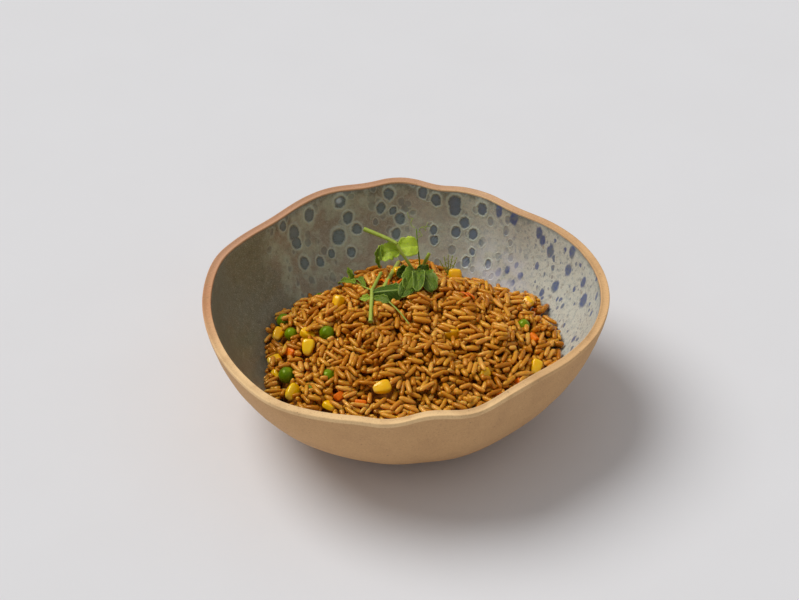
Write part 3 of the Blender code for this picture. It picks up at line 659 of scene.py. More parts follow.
class Glaze:
    """The reactive glaze, painted layer by layer on the colour and height so far."""

    def __init__(self, nodes, place, look):
        self.nodes = nodes
        self.place = place
        self.look = look
        self.drifted = nodes.warp(place, 22.0, 9.0)
        self.plain = heading_share(nodes, self.drifted, OLIVE_HEADING, 0.60, 0.74)
        self.beige = heading_share(nodes, self.drifted, CREAM_HEADING, -0.25, 0.60)
        self.cream = heading_share(nodes, self.drifted, CREAM_HEADING, 0.50, 0.82)
        self.spotted = nodes.times(nodes.math("SUBTRACT", 1.0, self.plain),
                                   nodes.math("SUBTRACT", 1.0, self.cream))
        self.unseen = nodes.step(nodes.add("SeparateXYZ", {0: place}, out="Y"), *HIDDEN_WALL)
        self.lumps = nodes.noise(place, 3.0, detail=5.0, roughness=0.65)
        self.grainy = nodes.noise(place, 0.6, detail=3.0, roughness=0.7)
        self.colour = look.umber
        self.height = nodes.times(self.lumps, 0.3)

    def lay(self, tint, *shares):
        """Lay a tint over the colour so far by the product of some shares."""
        self.colour = self.nodes.mix(self.colour, tint, *shares)

    def dent(self, ring, middle):
        """Raise the rings of spots and sink their middles."""
        dent = self.nodes.math("SUBTRACT", ring, middle)
        self.height = self.nodes.math("ADD", self.height, dent)

    def paint_zones(self, below):
        """Paint the spotted, plain, beige and cream glazes, and where they ran under the lip."""
        nodes, look = self.nodes, self.look
        patches = nodes.step(nodes.noise(self.place, 13.0, detail=4.0, roughness=0.6), 0.42, 0.62)
        self.lay(look.sage, patches)
        self.lay(look.olive, self.plain)
        self.lay(look.cream, self.beige, 0.82)
        self.lay(look.cream, self.cream)
        clouds = nodes.step(nodes.noise(self.place, 2.6, detail=4.0, roughness=0.65), 0.46, 0.66)
        self.lay(BLUE_CLOUDS, clouds, self.beige, 0.45)
        ran_thin = nodes.step(nodes.math("MULTIPLY_ADD", patches, 3.0, below), 9.0, 2.0)
        self.lay(RAN_THIN, ran_thin, self.spotted, 0.65)
        pooled = nodes.step(nodes.math("MULTIPLY_ADD", patches, 1.6, below), 4.2, 1.4)
        self.lay(POOLED, pooled, self.beige, 0.55)

    def paint_melt(self):
        """Paint the cloudy and grainy unevenness of the melt."""
        nodes = self.nodes
        self.lay(DARK_LUMPS, nodes.step(self.lumps, 0.52, 0.78), 0.45)
        self.lay(PALE_LUMPS, nodes.step(self.lumps, 0.47, 0.24), 0.30)
        self.lay(PALE_GRAIN, nodes.step(self.grainy, 0.53, 0.70), 0.38)
        self.lay(DARK_GRAIN, nodes.step(self.grainy, 0.47, 0.30), 0.34)

    def paint_spots(self):
        """Paint the ringed spots at the back: soft ones scattered, then the clearest, and a painted
        highlight on one of them.
        """
        nodes, look = self.nodes, self.look
        wall = on_wall(nodes, self.place, SPOT_SQUEEZE)
        spot = nodes.mix(look.spot, look.blot, self.beige, 0.55)
        deep = nodes.mix(spot, DEEP_SPOT, nodes.step(self.grainy, 0.40, 0.64))
        for number, (spacing, reach, left_out, strength, hidden) in enumerate(SPOT_LAYERS):
            moved = nodes.shift(wall, (17.0 * number, 31.0 * number, 7.0))
            outs = nodes.use(ringed_spots(), {"Place": moved, "Spacing": spacing, "Reach": reach,
                                              "Left Out": left_out}).node.outputs
            fade = nodes.math("MULTIPLY_ADD", outs["Draw"], 0.5, 0.5)
            share = nodes.times(self.spotted, strength, self.unseen if hidden else 1.0, fade)
            ring, middle = nodes.times(outs["Ring"], share), nodes.times(outs["Middle"], share)
            self.lay(look.ring, ring, 0.8)
            self.lay(deep, middle)
            self.dent(ring, middle)
        uneven = nodes.warp(nodes.warp(wall, 5.0, 1.0), 2.2, 0.5)
        far = nearest_seen(nodes, uneven, SPOTS_SEEN, SPOT_SQUEEZE)
        middle = nodes.use(spot_profile(), {"Far": far, "Place": self.place})
        ring = middle.node.outputs["Ring"]
        broken = nodes.math("MULTIPLY_ADD", nodes.noise(self.place, 8.0, detail=3.0), 0.9, 0.1)
        self.lay(look.ring, ring, broken)
        self.lay(look.ring, nodes.step(far, 1.5, 0.9), 0.22)
        heart = nodes.mix(spot, deep, nodes.step(far, 0.15, 0.72))
        self.lay(heart, middle, 0.88)
        self.dent(ring, middle)
        # Painted highlight: a pale blue disc on one spot, where the glaze would mirror the light.
        highlight_far = nodes.distance(self.place, wall_seen(*HIGHLIGHT_SPOT))
        self.lay(PAINTED_HIGHLIGHT, nodes.step(highlight_far, 2.4, 0.8), 0.8)

    def paint_blots(self):
        """Paint the blue blots and specks that ran down the cream side."""
        nodes, look = self.nodes, self.look
        pale = nodes.math("MAXIMUM", self.cream, nodes.times(self.beige, 0.35))
        running = on_wall(nodes, self.place, BLOT_SQUEEZE)
        for number, (spacing, reach, left_out, hidden) in enumerate(BLOT_LAYERS):
            moved = nodes.shift(running, (23.0 * number, 11.0 * number, 3.0))
            blots = nodes.use(runny_blots(), {"Place": moved, "Spacing": spacing, "Reach": reach,
                                              "Left Out": left_out})
            tint = nodes.mix(look.blot, DULL_BLOT, blots.node.outputs["Draw"], 0.7)
            self.lay(tint, blots, pale, 0.85, self.unseen if hidden else 1.0)
        bent = nodes.warp(nodes.warp(running, 4.0, 0.8), 1.5, 0.5)
        blots = nodes.step(nearest_seen(nodes, bent, BLOTS_SEEN, BLOT_SQUEEZE), 1.12, 0.66)
        tint = nodes.mix(look.blot, GREY_BLOT, nodes.step(self.lumps, 0.42, 0.62))
        self.lay(tint, blots, 0.9)
        for spacing, size, strength in SPECK_LAYERS:
            specks = nodes.use(fine_specks(), {"Place": running, "Spacing": spacing, "Size": size})
            tint = nodes.mix(BLUE_SPECK, look.umber, specks.node.outputs["Draw"])
            self.lay(tint, specks, pale, strength)

    def paint_milk(self):
        """Paint a pale milky patch by the rice: a painted reflection of the window."""
        nodes = self.nodes
        near = nodes.step(nodes.distance(self.drifted, REFLECTION_PLACE), 34.0, 8.0)
        clouds = nodes.step(nodes.noise(self.place, 7.0, detail=3.0), 0.35, 0.6)
        self.lay(PAINTED_REFLECTION, near, clouds, 0.6)


def bare_clay(nodes, place, below, look):
    """Return the bare clay's colour, its lip made paler by painted light and striped, and the height
    of its sand.
    """
    clouds = nodes.noise(place, 14.0, detail=4.0)
    warm_side = heading_share(nodes, nodes.warp(place, 18.0, 8.0), WARM_HEADING, 0.25, 0.75)
    # look.lip is painted light: the lip is painted paler than the wall where its top faces the
    # light.
    lip = nodes.mix(look.lip, look.warm_lip, warm_side)
    lip = nodes.mix(lip, look.clay, nodes.step(clouds, 0.5, 0.7), 0.35)
    waver = nodes.math("MULTIPLY_ADD", nodes.noise(place, 5.0, detail=3.0), 0.5, -0.25)
    lean = nodes.math("ADD", nodes.value("lean"), waver)
    away = heading_share(nodes, place, AWAY_HEADING, 0.0, 0.6)
    lip = nodes.mix(lip, look.lip, away, 0.3)
    lip = nodes.mix(lip, OUTER_STRIPE, nodes.step(lean, -0.62, -0.28), away, 0.6)
    lip = nodes.mix(lip, RIGHT_LIP, heading_share(nodes, place, CREAM_HEADING, 0.35, 0.85), 0.6)
    lip = nodes.mix(lip, INNER_STRIPE, nodes.step(lean, -0.55, -0.9), 0.45)
    clay = nodes.mix(look.clay, lip, nodes.step(below, -2.6, -1.9))
    clay = nodes.mix(clay, CLAY_CLOUDS, nodes.step(clouds, 0.42, 0.75), 0.16)
    sand = nodes.noise(place, 0.9, detail=3.0, roughness=0.75)
    clay = nodes.mix(clay, DARK_SAND, nodes.step(sand, 0.52, 0.66), 0.20)
    clay = nodes.mix(clay, PALE_SAND, nodes.step(sand, 0.45, 0.30), 0.24)
    specks = nodes.use(fine_specks(), {"Place": place, "Spacing": 3.0, "Size": 0.20})
    return nodes.mix(clay, IRON_SPECK, specks, 0.35), sand


def stoneware(look):
    """Return the bowl's material: bare sandy clay outside, reactive glaze inside."""
    made, nodes, shader = new_material("glazed stoneware")
    place = nodes.place()
    below = nodes.value("below_lip")
    waver = nodes.math("MULTIPLY_ADD", nodes.noise(place, 7.0, detail=4.0), 0.7, -0.35)
    edge = nodes.math("ADD", below, waver)
    covered = nodes.step(edge, GLAZE_LINE - 0.12, GLAZE_LINE + 0.12)
    clay, sand = bare_clay(nodes, place, below, look)
    glaze = Glaze(nodes, place, look)
    glaze.paint_zones(below)
    glaze.paint_melt()
    glaze.paint_spots()
    glaze.paint_blots()
    glaze.paint_milk()
    glaze.lay(BURNT_EDGE, covered, nodes.step(edge, GLAZE_LINE + 0.7, GLAZE_LINE + 0.1), 0.5)
    nodes.put(shader.inputs["Base Color"], nodes.mix(clay, glaze.colour, covered))
    rough = nodes.math("MULTIPLY_ADD", covered, look.glaze_gloss - CLAY_ROUGHNESS, CLAY_ROUGHNESS)
    nodes.put(shader.inputs["Roughness"], rough)
    nodes.put(shader.inputs["Coat Weight"], nodes.times(covered, 0.35))
    shader.inputs["Coat Roughness"].default_value = 0.22
    gritty = nodes.times(sand, nodes.math("SUBTRACT", 1.0, covered))
    normal = nodes.bump(gritty, 0.10, strength=0.6)
    normal = nodes.bump(covered, 0.25, normal)
    normal = nodes.bump(nodes.times(glaze.height, covered), 0.18, normal)
    normal = nodes.bump(nodes.noise(place, 9.0, detail=1.0), 0.35, normal)
    nodes.put(shader.inputs["Normal"], normal)
    return made


def smooth_through(name, rough):
    """Return a subdivided copy of a rough mesh whose surface passes through its corners."""
    aim = vertex_array(rough.data)
    pull = aim.copy()
    for _ in range(SMOOTHING_PASSES):
        trial = add_object(name, rough.data.copy())
        put_vertices(trial.data, pull)
        apply_modifier(trial, "SUBSURF", levels=2, render_levels=2)
        pull += aim - vertex_array(trial.data)[:len(aim)]
        bpy.data.objects.remove(trial, do_unlink=True)
    put_vertices(rough.data, pull)
    apply_modifier(rough, "SUBSURF", levels=2, render_levels=2)
    rough.name = rough.data.name = name
    return rough


def lip_heights(rows):
    """Return the lip's height above each vertex, found all round the bowl."""
    turns = np.arctan2(rows[:, 1], rows[:, 0])
    slots = ((turns + math.pi) / math.tau * LIP_SLOTS).astype(int) % LIP_SLOTS
    crest = np.zeros(LIP_SLOTS)
    np.maximum.at(crest, slots, rows[:, 2])
    around = (np.arange(LIP_SLOTS) + 0.5) / LIP_SLOTS * math.tau - math.pi
    return np.interp(turns, around, crest, period=math.tau)


def finger_marks(row):
    """Return in metres how far throwing rings and uneven hands raise the clay at a point."""
    rings = math.sin(row[2] / (RING_RADIAN * MM) + 2.0 * noise.noise(Vector(row) * 30))
    return (RING_HEIGHT * rings + HAND_HEIGHT * noise.noise(Vector(row) * 45)) * MM


def throw(rows, normals):
    """Return the bowl's vertices with finger marks, calmer at the foot and at the lip."""
    marks = np.array([finger_marks(row) for row in rows])
    calm = np.clip((rows[:, 2] - 3 * MM) / (8 * MM), 0, 1)
    calm *= np.clip((CAD_BOX[1].z - 3 * MM - rows[:, 2]) / (6 * MM), 0.25, 1)
    rows = rows + normals * ((marks - MARKS_INWARD) * calm * MARKS_SHARE)[:, None]
    rows[:, 2] -= rows[:, 2].min() * np.clip(1 - rows[:, 2] / STANDING_ZONE, 0, 1)
    return np.clip(rows, np.array(CAD_BOX[0]), np.array(CAD_BOX[1]))


def store_glaze_places(mesh, rows, normals):
    """Store how far a point lies below the lip, less than 0 outside, and how it leans out."""
    reach = np.hypot(rows[:, 0], rows[:, 1])
    radial = rows[:, :2] / np.maximum(reach, 1e-6)[:, None]
    outward = (normals[:, :2] * radial).sum(axis=1)
    on_floor = (reach < FLOOR_RADIUS) & (normals[:, 2] > 0.5)
    inner = ((outward < 0) | on_floor) & (rows[:, 2] > FOOT_ZONE)
    below = np.maximum(lip_heights(rows) - rows[:, 2], 0) / MM
    set_values(mesh, "below_lip", np.where(inner, below, -below))
    set_values(mesh, "lean", outward)


def make_bowl(look):
    """Model the bowl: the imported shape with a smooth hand-thrown surface."""
    bowl = copy_of_node("bowl", "rough_bowl")
    with editing():
        bpy.ops.mesh.tris_convert_to_quads(face_threshold=math.pi, shape_threshold=math.pi)
    bowl = smooth_through("stoneware_bowl", bowl)
    pick(bowl)
    bpy.ops.object.shade_smooth()
    mesh = bowl.data
    normals = np.array([vert.normal for vert in mesh.vertices])
    rows = throw(vertex_array(mesh), normals)
    put_vertices(mesh, rows)
    store_glaze_places(mesh, rows, normals)
    mesh.materials.append(stoneware(look))
    finish_piece(bowl, ["bowl"])
    return bowl


# ---------------------------------------------------------------- heights over the table
CELL = 0.4                      # mm
HALF = 86.0                     # mm from the middle to the grid's edge
ROWS = int(2 * HALF / CELL)
RAY_START = 0.2                 # m above or below the table, clear of the model
CENTRES = (np.arange(ROWS) + 0.5) * CELL - HALF


def cell_at(x, y):
    """Return the row and the column of the cell at a place in mm."""
    return int((y + HALF) / CELL), int((x + HALF) / CELL)


def height_map(items, upward=False):
    """Return the height in mm of the first surface met on each cell, seen from above or below."""
    corners, faces = [], []
    for item in items:
        start = len(corners)
        corners += [vert.co.copy() for vert in item.data.vertices]
        faces += [[start + index for index in face.vertices] for face in item.data.polygons]
    tree = BVHTree.FromPolygons(corners, faces)
    side = -1 if upward else 1
    ray = Vector((0, 0, -side))
    found = np.full((ROWS, ROWS), np.nan)
    low = np.array([min(c[axis] for c in corners) for axis in (0, 1)]) / MM
    high = np.array([max(c[axis] for c in corners) for axis in (0, 1)]) / MM
    for row, y in enumerate(CENTRES):
        if not low[1] <= y <= high[1]:
            continue
        for column, x in enumerate(CENTRES):
            if not low[0] <= x <= high[0]:
                continue
            hit = tree.ray_cast(Vector((x * MM, y * MM, side * RAY_START)), ray)[0]
            if hit is not None:
                found[row, column] = hit.z / MM
    return found


def blurred(values, weights, width):
    """Return values smoothed over width mm, counting only where weights aren't 0."""
    gap = (CENTRES[:, None] - CENTRES[None, :]) / width
    kernel = np.exp(-0.5 * gap * gap)
    total = kernel @ weights @ kernel
    summed = kernel @ (np.nan_to_num(values) * weights) @ kernel
    return summed / np.maximum(total, 1e-9), total


@functools.cache
def packed_heap():
    """Return the heap's heights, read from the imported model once."""
    return Heap()


class Heap:
    """The heap's even top and the bowl's inside, in mm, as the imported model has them."""

    def __init__(self):
        nodes = frame["nodes"]
        top = height_map([nodes["rice"]])
        self.bowl = np.nan_to_num(height_map([nodes["bowl"]]), nan=0.0)
        toppings = height_map([nodes[name] for name in PEA_NODES + CORN_NODES])
        near, _ = blurred(np.isfinite(toppings) * 1.0, np.ones_like(top), 0.8)
        self.inside = np.isfinite(top)
        weights = (self.inside & (near < 0.02)) * 1.0
        self.top, _ = blurred(top, weights, 3.0)

    def at(self, x, y, lift=0.0):
        """Return the point in metres on the heap's even top at a place in mm, lifted by mm."""
        return Vector((x, y, self.top[cell_at(x, y)] + lift)) * MM

    def seen(self, column, row, lift=0.0):
        """Return the point in metres, lift mm over the heap, that shows at a place in the view."""
        eye, way = Vector(CAMERA_PLACE), view_way(column, row)
        for y in np.arange(-HALF + 2, HALF - 2, 0.2):
            point = eye + way * ((y - eye.y) / way.y)
            cell = cell_at(point.x, y)
            if self.inside[cell] and point.z < self.top[cell] + lift:
                return point * MM
        raise ValueError(f"nothing of the heap shows at {column}, {row}")

    def slope(self, x, y):
        """Return the turn that lays a piece on the heap's slope at a place in mm."""
        step = 2.0
        across = self.at(x + step, y) - self.at(x - step, y)
        away = self.at(x, y + step) - self.at(x, y - step)
        return across.cross(away).normalized().to_track_quat("Z", "Y").to_matrix().to_4x4()


# ---------------------------------------------------------------- vegetables
TORN_PEA = "pea_05"
KERNEL_FULLNESS = 4.2           # how square a kernel is; 2 would be a ball
BURIED = 0.28                   # share of its size that a carrot dice sits under the aim
# Tints beside the settings' own colours.
DARK_PEA = swatch(80, 110, 0)
PALE_PEA = swatch(148, 166, 14)
PEA_FLESH = swatch(176, 190, 84)
PEA_SHEEN = swatch(250, 255, 150)
DEEP_CORN = swatch(255, 176, 0)
PALE_CORN = swatch(255, 218, 16)
CORN_BASE = swatch(244, 206, 88)
DEEP_CARROT = swatch(222, 98, 2)
CARROT_FIBRE = swatch(250, 150, 20)


def pea_skin(look):
    """Return the peas' material: a waxy green skin, paler in patches, with fine wrinkles."""
    made, nodes, shader = new_material("pea skin")
    place = nodes.place()
    colour = nodes.mix(look.pea, DARK_PEA, nodes.value("tone"), 0.75)
    patches = nodes.noise(place, 3.2, detail=3.0)
    colour = nodes.mix(colour, PALE_PEA, nodes.step(patches, 0.5, 0.75), 0.4)
    colour = nodes.mix(colour, PEA_FLESH, nodes.value("torn"))
    wrinkles = nodes.noise(nodes.warp(place, 2.0, 0.5), 1.8, detail=1.0)
    cover(nodes, shader, colour, film_on(nodes, place, 0.30, 0.12, 2.5), nodes.bump(wrinkles, 0.08))
    shine(shader, 0.5, PEA_SHEEN)
    soak(shader, 0.10, 1.0, (0.8, 1.0, 0.1))
    return made


def corn_skin(look):
    """Return the kernels' material: glossy yellow crown running to a pale torn base."""
    made, nodes, shader = new_material("sweetcorn skin")
    place = nodes.place()
    colour = nodes.mix(look.corn, DEEP_CORN, nodes.value("tone"), 0.6)
    patches = nodes.noise(place, 2.4, detail=3.0)
    colour = nodes.mix(colour, PALE_CORN, nodes.step(patches, 0.48, 0.72), 0.4)
    colour = nodes.mix(colour, CORN_BASE, nodes.step(nodes.value("along"), -0.55, -1.0), 0.6)
    cover(nodes, shader, colour, film_on(nodes, place, 0.22, 0.10, 2.0),
          nodes.bump(nodes.noise(place, 2.0, detail=1.0), 0.10))
    shine(shader, 0.8)
    soak(shader, 0.15, 1.2, (1.0, 0.7, 0.05))
    return made


def carrot_flesh(look):
    """Return the carrot's material: wet orange flesh with pale fibres."""
    made, nodes, shader = new_material("carrot flesh")
    place = nodes.place()
    colour = nodes.mix(look.carrot, DEEP_CARROT, nodes.value("tone"))
    fibres = nodes.noise(place, 1.2, detail=4.0)
    colour = nodes.mix(colour, CARROT_FIBRE, nodes.step(fibres, 0.5, 0.75), 0.45)
    cover(nodes, shader, colour, film_on(nodes, place, 0.36, 0.14, 1.5), nodes.bump(fibres, 0.12))
    shine(shader, 0.35)
    soak(shader, 0.2, 1.5, (1.0, 0.4, 0.1))
    return made


def make_peas(look):
    """Model the peas: dimpled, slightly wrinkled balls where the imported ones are."""
    draw = random.Random(3)
    made = []
    for name in PEA_NODES:
        low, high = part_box(name)
        radius = min(high - low) / 2
        deselect_all()
        bpy.ops.mesh.primitive_uv_sphere_add(segments=32, ring_count=20, radius=radius)
        pea = bpy.context.object
        seed = noise_seed(draw)
        for vert in pea.data.vertices:
            way = vert.co.normalized()
            hilum = math.exp(-((1 - way.z) / 0.035))
            wrinkle = noise.noise(way * 2.2 + seed) * 0.045 + noise.noise(way * 6 + seed) * 0.018
            vert.co *= 1 - 0.10 * hilum + wrinkle - 0.03
            vert.co.z *= 0.97
        torn = [0.0] * len(pea.data.vertices)
        if name == TORN_PEA:
            torn = [max(0.0, min(1.0, vert.co.y / radius * 1.6)) for vert in pea.data.vertices]
        set_values(pea.data, "torn", torn)
        set_tone(pea.data, draw.uniform(0, 1))
        pea.rotation_euler = [draw.uniform(0, math.tau) for _ in range(3)]
        pea.location = (low + high) / 2
        made.append(pea)
    peas = join("peas", made)
    peas.data.materials.append(pea_skin(look))
    finish_piece(peas, PEA_NODES)
    return peas


def axes_of(node):
    """Return the turn and half sizes of a packed kernel, its crown towards +X."""
    rows = vertex_array(frame["nodes"][node].data)
    middle = rows.mean(axis=0)
    _, _, ways = np.linalg.svd(rows - middle, full_matrices=False)
    local = (rows - middle) @ ways.T
    crown = np.abs(local[local[:, 0] > 0][:, 1]).max()
    tip = np.abs(local[local[:, 0] < 0][:, 1]).max()
    if crown < tip:
        ways[0] = -ways[0]
    ways[2] = np.cross(ways[0], ways[1])
    local = (rows - middle) @ ways.T
    centre = middle + ((local.max(axis=0) + local.min(axis=0)) / 2) @ ways
    halves = (local.max(axis=0) - local.min(axis=0)) / 2
    turn = Matrix(ways.T.tolist())
    return Matrix.Translation(Vector(centre)) @ turn.to_4x4(), Vector(halves)


def kernel_shape():
    """Model one kernel of half sizes 1: plump, drawn in to its base, dimpled at the crown."""
    deselect_all()
    bpy.ops.mesh.primitive_cube_add(size=2)
    kernel = bpy.context.object
    with editing():
        bpy.ops.mesh.subdivide(number_cuts=5)
    for vert in kernel.data.vertices:
        vert.co /= sum(abs(c) ** KERNEL_FULLNESS for c in vert.co) ** (1 / KERNEL_FULLNESS)
        along = (vert.co.x + 1) / 2
        widening = math.sin(math.pi / 2 * min(1.0, along * 1.4))
        vert.co.y *= 0.62 + 0.38 * widening
        vert.co.z *= 0.68 + 0.32 * widening
        crown = max(0.0, vert.co.x - 0.6) / 0.4
        vert.co.x -= 0.22 * crown * math.exp(-vert.co.yz.length_squared / 0.12)
    apply_modifier(kernel, "SUBSURF", levels=1, render_levels=1)
    rows = vertex_array(kernel.data)
    rows /= np.abs(rows).max(axis=0)
    put_vertices(kernel.data, rows)
    return kernel


def make_sweetcorn(look):
    """Model the kernels, each where its packed one is and turned the same way."""
    draw = random.Random(5)
    pattern = kernel_shape()
    made = []
    for name in CORN_NODES:
        place, halves = axes_of(name)
        kernel = add_object(name + "_kernel", pattern.data.copy())
        rows = vertex_array(kernel.data)
        seed = noise_seed(draw)
        set_values(kernel.data, "along", rows[:, 0])
        set_tone(kernel.data, draw.uniform(0, 1))
        swell = [1 + 0.05 * noise.noise(Vector(row) * 1.1 + seed)
                 + 0.02 * noise.noise(Vector(row) * 3 + seed) for row in rows]
        rows *= np.array(swell)[:, None] * 0.985
        put_vertices(kernel.data, rows * np.array(halves))
        kernel.matrix_world = place
        made.append(kernel)
    bpy.data.objects.remove(pattern, do_unlink=True)
    corn = join("sweetcorn", made)
    corn.data.materials.append(corn_skin(look))
    finish_piece(corn, CORN_NODES)
    return corn


def make_carrot_dice(look, heap):
    """Model the carrot dice, soft-edged and partly sunk in the heap."""
    draw = random.Random(9)
    made = []
    for x, y, size, turn in CARROT_DICE:
        deselect_all()
        bpy.ops.mesh.primitive_cube_add(size=size * MM)
        dice = bpy.context.object
        with editing():
            bpy.ops.transform.resize(value=(1.12, 0.86, 0.8))
            bpy.ops.mesh.bevel(offset=size * 0.17 * MM, segments=2, affect="EDGES")
            bpy.ops.mesh.subdivide(number_cuts=1)
        seed = noise_seed(draw, 1)
        for vert in dice.data.vertices:
            vert.co += vert.normal * noise.noise(vert.co / (2.4 * MM) + seed) * 0.35 * MM
        apply_modifier(dice, "SUBSURF", levels=1, render_levels=1)
        set_tone(dice.data, draw.uniform(0, 0.8))
        dice.matrix_world = (Matrix.Translation(heap.at(x, y, -BURIED * size)) @ heap.slope(x, y)
                             @ Matrix.Rotation(math.radians(turn), 4, "Z")
                             @ Matrix.Rotation(0.35, 4, "X"))
        made.append(dice)
    carrot = join("carrot_dice", made)
    carrot.data.materials.append(carrot_flesh(look))
    finish_piece(carrot, ["rice"])
    return carrot


def make_carrot_shreds(heap):
    """Model the curved carrot shreds that lie on the rice."""
    draw = random.Random(10)
    made = []
    for x, y, length, turn, lift in CARROT_SHREDS:
        deselect_all()
        bpy.ops.mesh.primitive_cube_add(size=1)
        shred = bpy.context.object
        with editing():
            bpy.ops.transform.resize(value=(length * MM, 1.5 * MM, 1.0 * MM))
            bpy.ops.mesh.bevel(offset=0.3 * MM, segments=1, affect="EDGES")
        apply_modifier(shred, "REMESH", mode="VOXEL", voxel_size=0.45 * MM)
        bend = draw.uniform(0.4, 0.9)
        seed = noise_seed(draw, 1)
        for vert in shred.data.vertices:
            share = vert.co.x / (length / 2 * MM)
            vert.co.z += (0.6 - share * share * bend * 1.6) * MM
            vert.co.y += math.sin(share * 2.0 + seed.x) * 0.9 * MM
            vert.co += vert.normal * noise.noise(vert.co / (1.5 * MM) + seed) * 0.25 * MM
        set_tone(shred.data, draw.uniform(0.4, 1))
        shred.matrix_world = (Matrix.Translation(heap.at(x, y, lift)) @ heap.slope(x, y)
                              @ Matrix.Rotation(math.radians(turn), 4, "Z"))
        made.append(shred)
    shreds = join("carrot_shreds", made)
    shreds.data.materials.append(bpy.data.materials["carrot flesh"])
    finish_piece(shreds, ["rice"])
    return shreds


# ---------------------------------------------------------------- pea shoots
# Tints beside the settings' own colours.
LEAF_MOTTLE = swatch(34, 68, 8)
LEAF_VEIN = swatch(178, 202, 92)
LEAF_MARGIN = swatch(170, 190, 96)
DEEP_STEM = swatch(92, 128, 16)
STEM_STREAK = swatch(206, 220, 130)


def leaf_skin(look):
    """Return the leaves' material: veined green, a per-leaf tone from deep to young green."""
    made, nodes, shader = new_material("pea shoot leaf")
    place = nodes.place()
    over = nodes.add("UVMap", uv_map="UVMap")
    parts = nodes.add("SeparateXYZ", {0: over}).node.outputs
    side = nodes.math("ABSOLUTE", nodes.math("MULTIPLY_ADD", parts[1], 2.0, -1.0))
    slant = nodes.math("SUBTRACT", nodes.times(parts[0], 9.0), nodes.times(side, 3.2))
    wobble = nodes.math("MULTIPLY_ADD", nodes.noise(place, 3.0), 0.8, -0.4)
    comb = nodes.math("PINGPONG", nodes.math("ADD", slant, wobble), 0.5)
    veins = nodes.step(comb, 0.09, 0.02)
    rib = nodes.step(side, 0.09, 0.02)
    lines = nodes.math("MAXIMUM", nodes.times(veins, 0.6), rib)
    colour = nodes.mix(look.leaf, look.young, nodes.value("tone"))
    mottle = nodes.noise(place, 2.2, detail=4.0)
    colour = nodes.mix(colour, LEAF_MOTTLE, nodes.step(mottle, 0.5, 0.8), 0.35)
    colour = nodes.mix(colour, LEAF_VEIN, lines, 0.4)
    colour = nodes.mix(colour, LEAF_MARGIN, nodes.step(side, 0.86, 0.98), 0.5)
    height = nodes.math("SUBTRACT", nodes.times(mottle, 0.5), lines)
    cover(nodes, shader, colour, nodes.math("MULTIPLY_ADD", mottle, 0.2, 0.35),
          nodes.bump(height, 0.12))
    shine(shader, 0.3)
    soak(shader, 0.6, 1.4, (0.8, 1.0, 0.15))
    return made


def stem_skin(look):
    """Return the stems' material: pale ridged green."""
    made, nodes, shader = new_material("pea shoot stem")
    colour = nodes.mix(DEEP_STEM, look.stem, nodes.value("tone"))
    streaks = nodes.noise(nodes.place(), 1.4, detail=3.0)
    colour = nodes.mix(colour, STEM_STREAK, nodes.step(streaks, 0.5, 0.75), 0.4)
    cover(nodes, shader, colour, 0.4, nodes.bump(streaks, 0.07))
    shine(shader, 0.5)
    soak(shader, 0.3, 1.2, (0.7, 1.0, 0.3))
    return made


LEAF_STEPS = 34                 # grid squares along a leaf
LEAF_COLUMNS = 16
TO_LIGHT = (-0.2, -0.6, 0.8)    # way that the standing leaves face


def make_leaf(look, base, tip, width, facing, fold=0.15, arch=0.08, widest=0.5, wave=0.5,
              ragged=0.25, blunt=0.62, tone=0.3, seed=1.0):
    """Model a leaf from base to tip in metres: folded along its rib, crinkled, thin and closed."""
    deselect_all()
    bpy.ops.mesh.primitive_grid_add(x_subdivisions=LEAF_STEPS, y_subdivisions=LEAF_COLUMNS,
                                    size=2)
    leaf = bpy.context.object
    spine = tip - base
    length = spine.length
    along = spine / length
    side = along.cross(Vector(facing)).normalized()
    up = side.cross(along).normalized()
    bend = math.log(0.5) / math.log(widest)
    turn = fold * math.pi / 2
    for vert in leaf.data.vertices:
        share = (vert.co.x + 1) / 2
        across = vert.co.y
        girth = max(0.0, math.sin(math.pi * min(1.0, share) ** bend)) ** blunt
        half = width * MM / 2 * max(girth, 0.10 * (1 - share) + 0.02)
        notch = noise.noise(Vector((share * 5, math.copysign(4, across), seed)))
        notch += 0.5 * noise.noise(Vector((share * 14, math.copysign(9, across), seed)))
        half *= 1 + ragged * notch * abs(across)
        ripple = math.sin(share * 9 + across * 2.2 + seed) * across * across * wave * MM
        ripple += noise.noise(Vector((share * 3, across * 2, seed))) * 0.9 * wave * MM
        ripple += noise.noise(Vector((share * 7, across * 5, seed))) * 0.4 * wave * MM
        rise = arch * length * math.sin(math.pi * share) + abs(across) * half * math.sin(turn)
        vert.co = (base + along * (share * length) + side * (across * half * math.cos(turn))
                   + up * (rise + ripple))
    apply_modifier(leaf, "SOLIDIFY", thickness=look.thickness, offset=0.0)
    set_tone(leaf.data, tone)
    leaf.data.materials.append(bpy.data.materials["pea shoot leaf"])
    return leaf


def make_stem(points, radius, end_radius, tone, sides=3):
    """Model a round stem through points in metres, its radius in mm from start to end."""
    curve = bpy.data.curves.new("stem", "CURVE")
    curve.dimensions = "3D"
    curve.bevel_depth = MM
    curve.bevel_resolution = sides
    curve.use_fill_caps = True
    curve.resolution_u = 5
    spline = curve.splines.new("NURBS")
    spline.points.add(len(points) - 1)
    spline.order_u = 4 if len(points) > 3 else len(points)
    spline.use_endpoint_u = True
    for index, (point, here) in enumerate(zip(spline.points, points)):
        point.co = (*here, 1.0)
        point.radius = radius + (end_radius - radius) * index / (len(points) - 1)
    stem = bpy.data.objects.new("stem", curve)
    bpy.context.scene.collection.objects.link(stem)
    pick(stem)
    bpy.ops.object.convert(target="MESH")
    stem = bpy.context.object
    if "UVMap" not in stem.data.uv_layers:
        stem.data.uv_layers.new(name="UVMap")
    set_tone(stem.data, tone)
    stem.data.materials.append(bpy.data.materials["pea shoot stem"])
    return stem


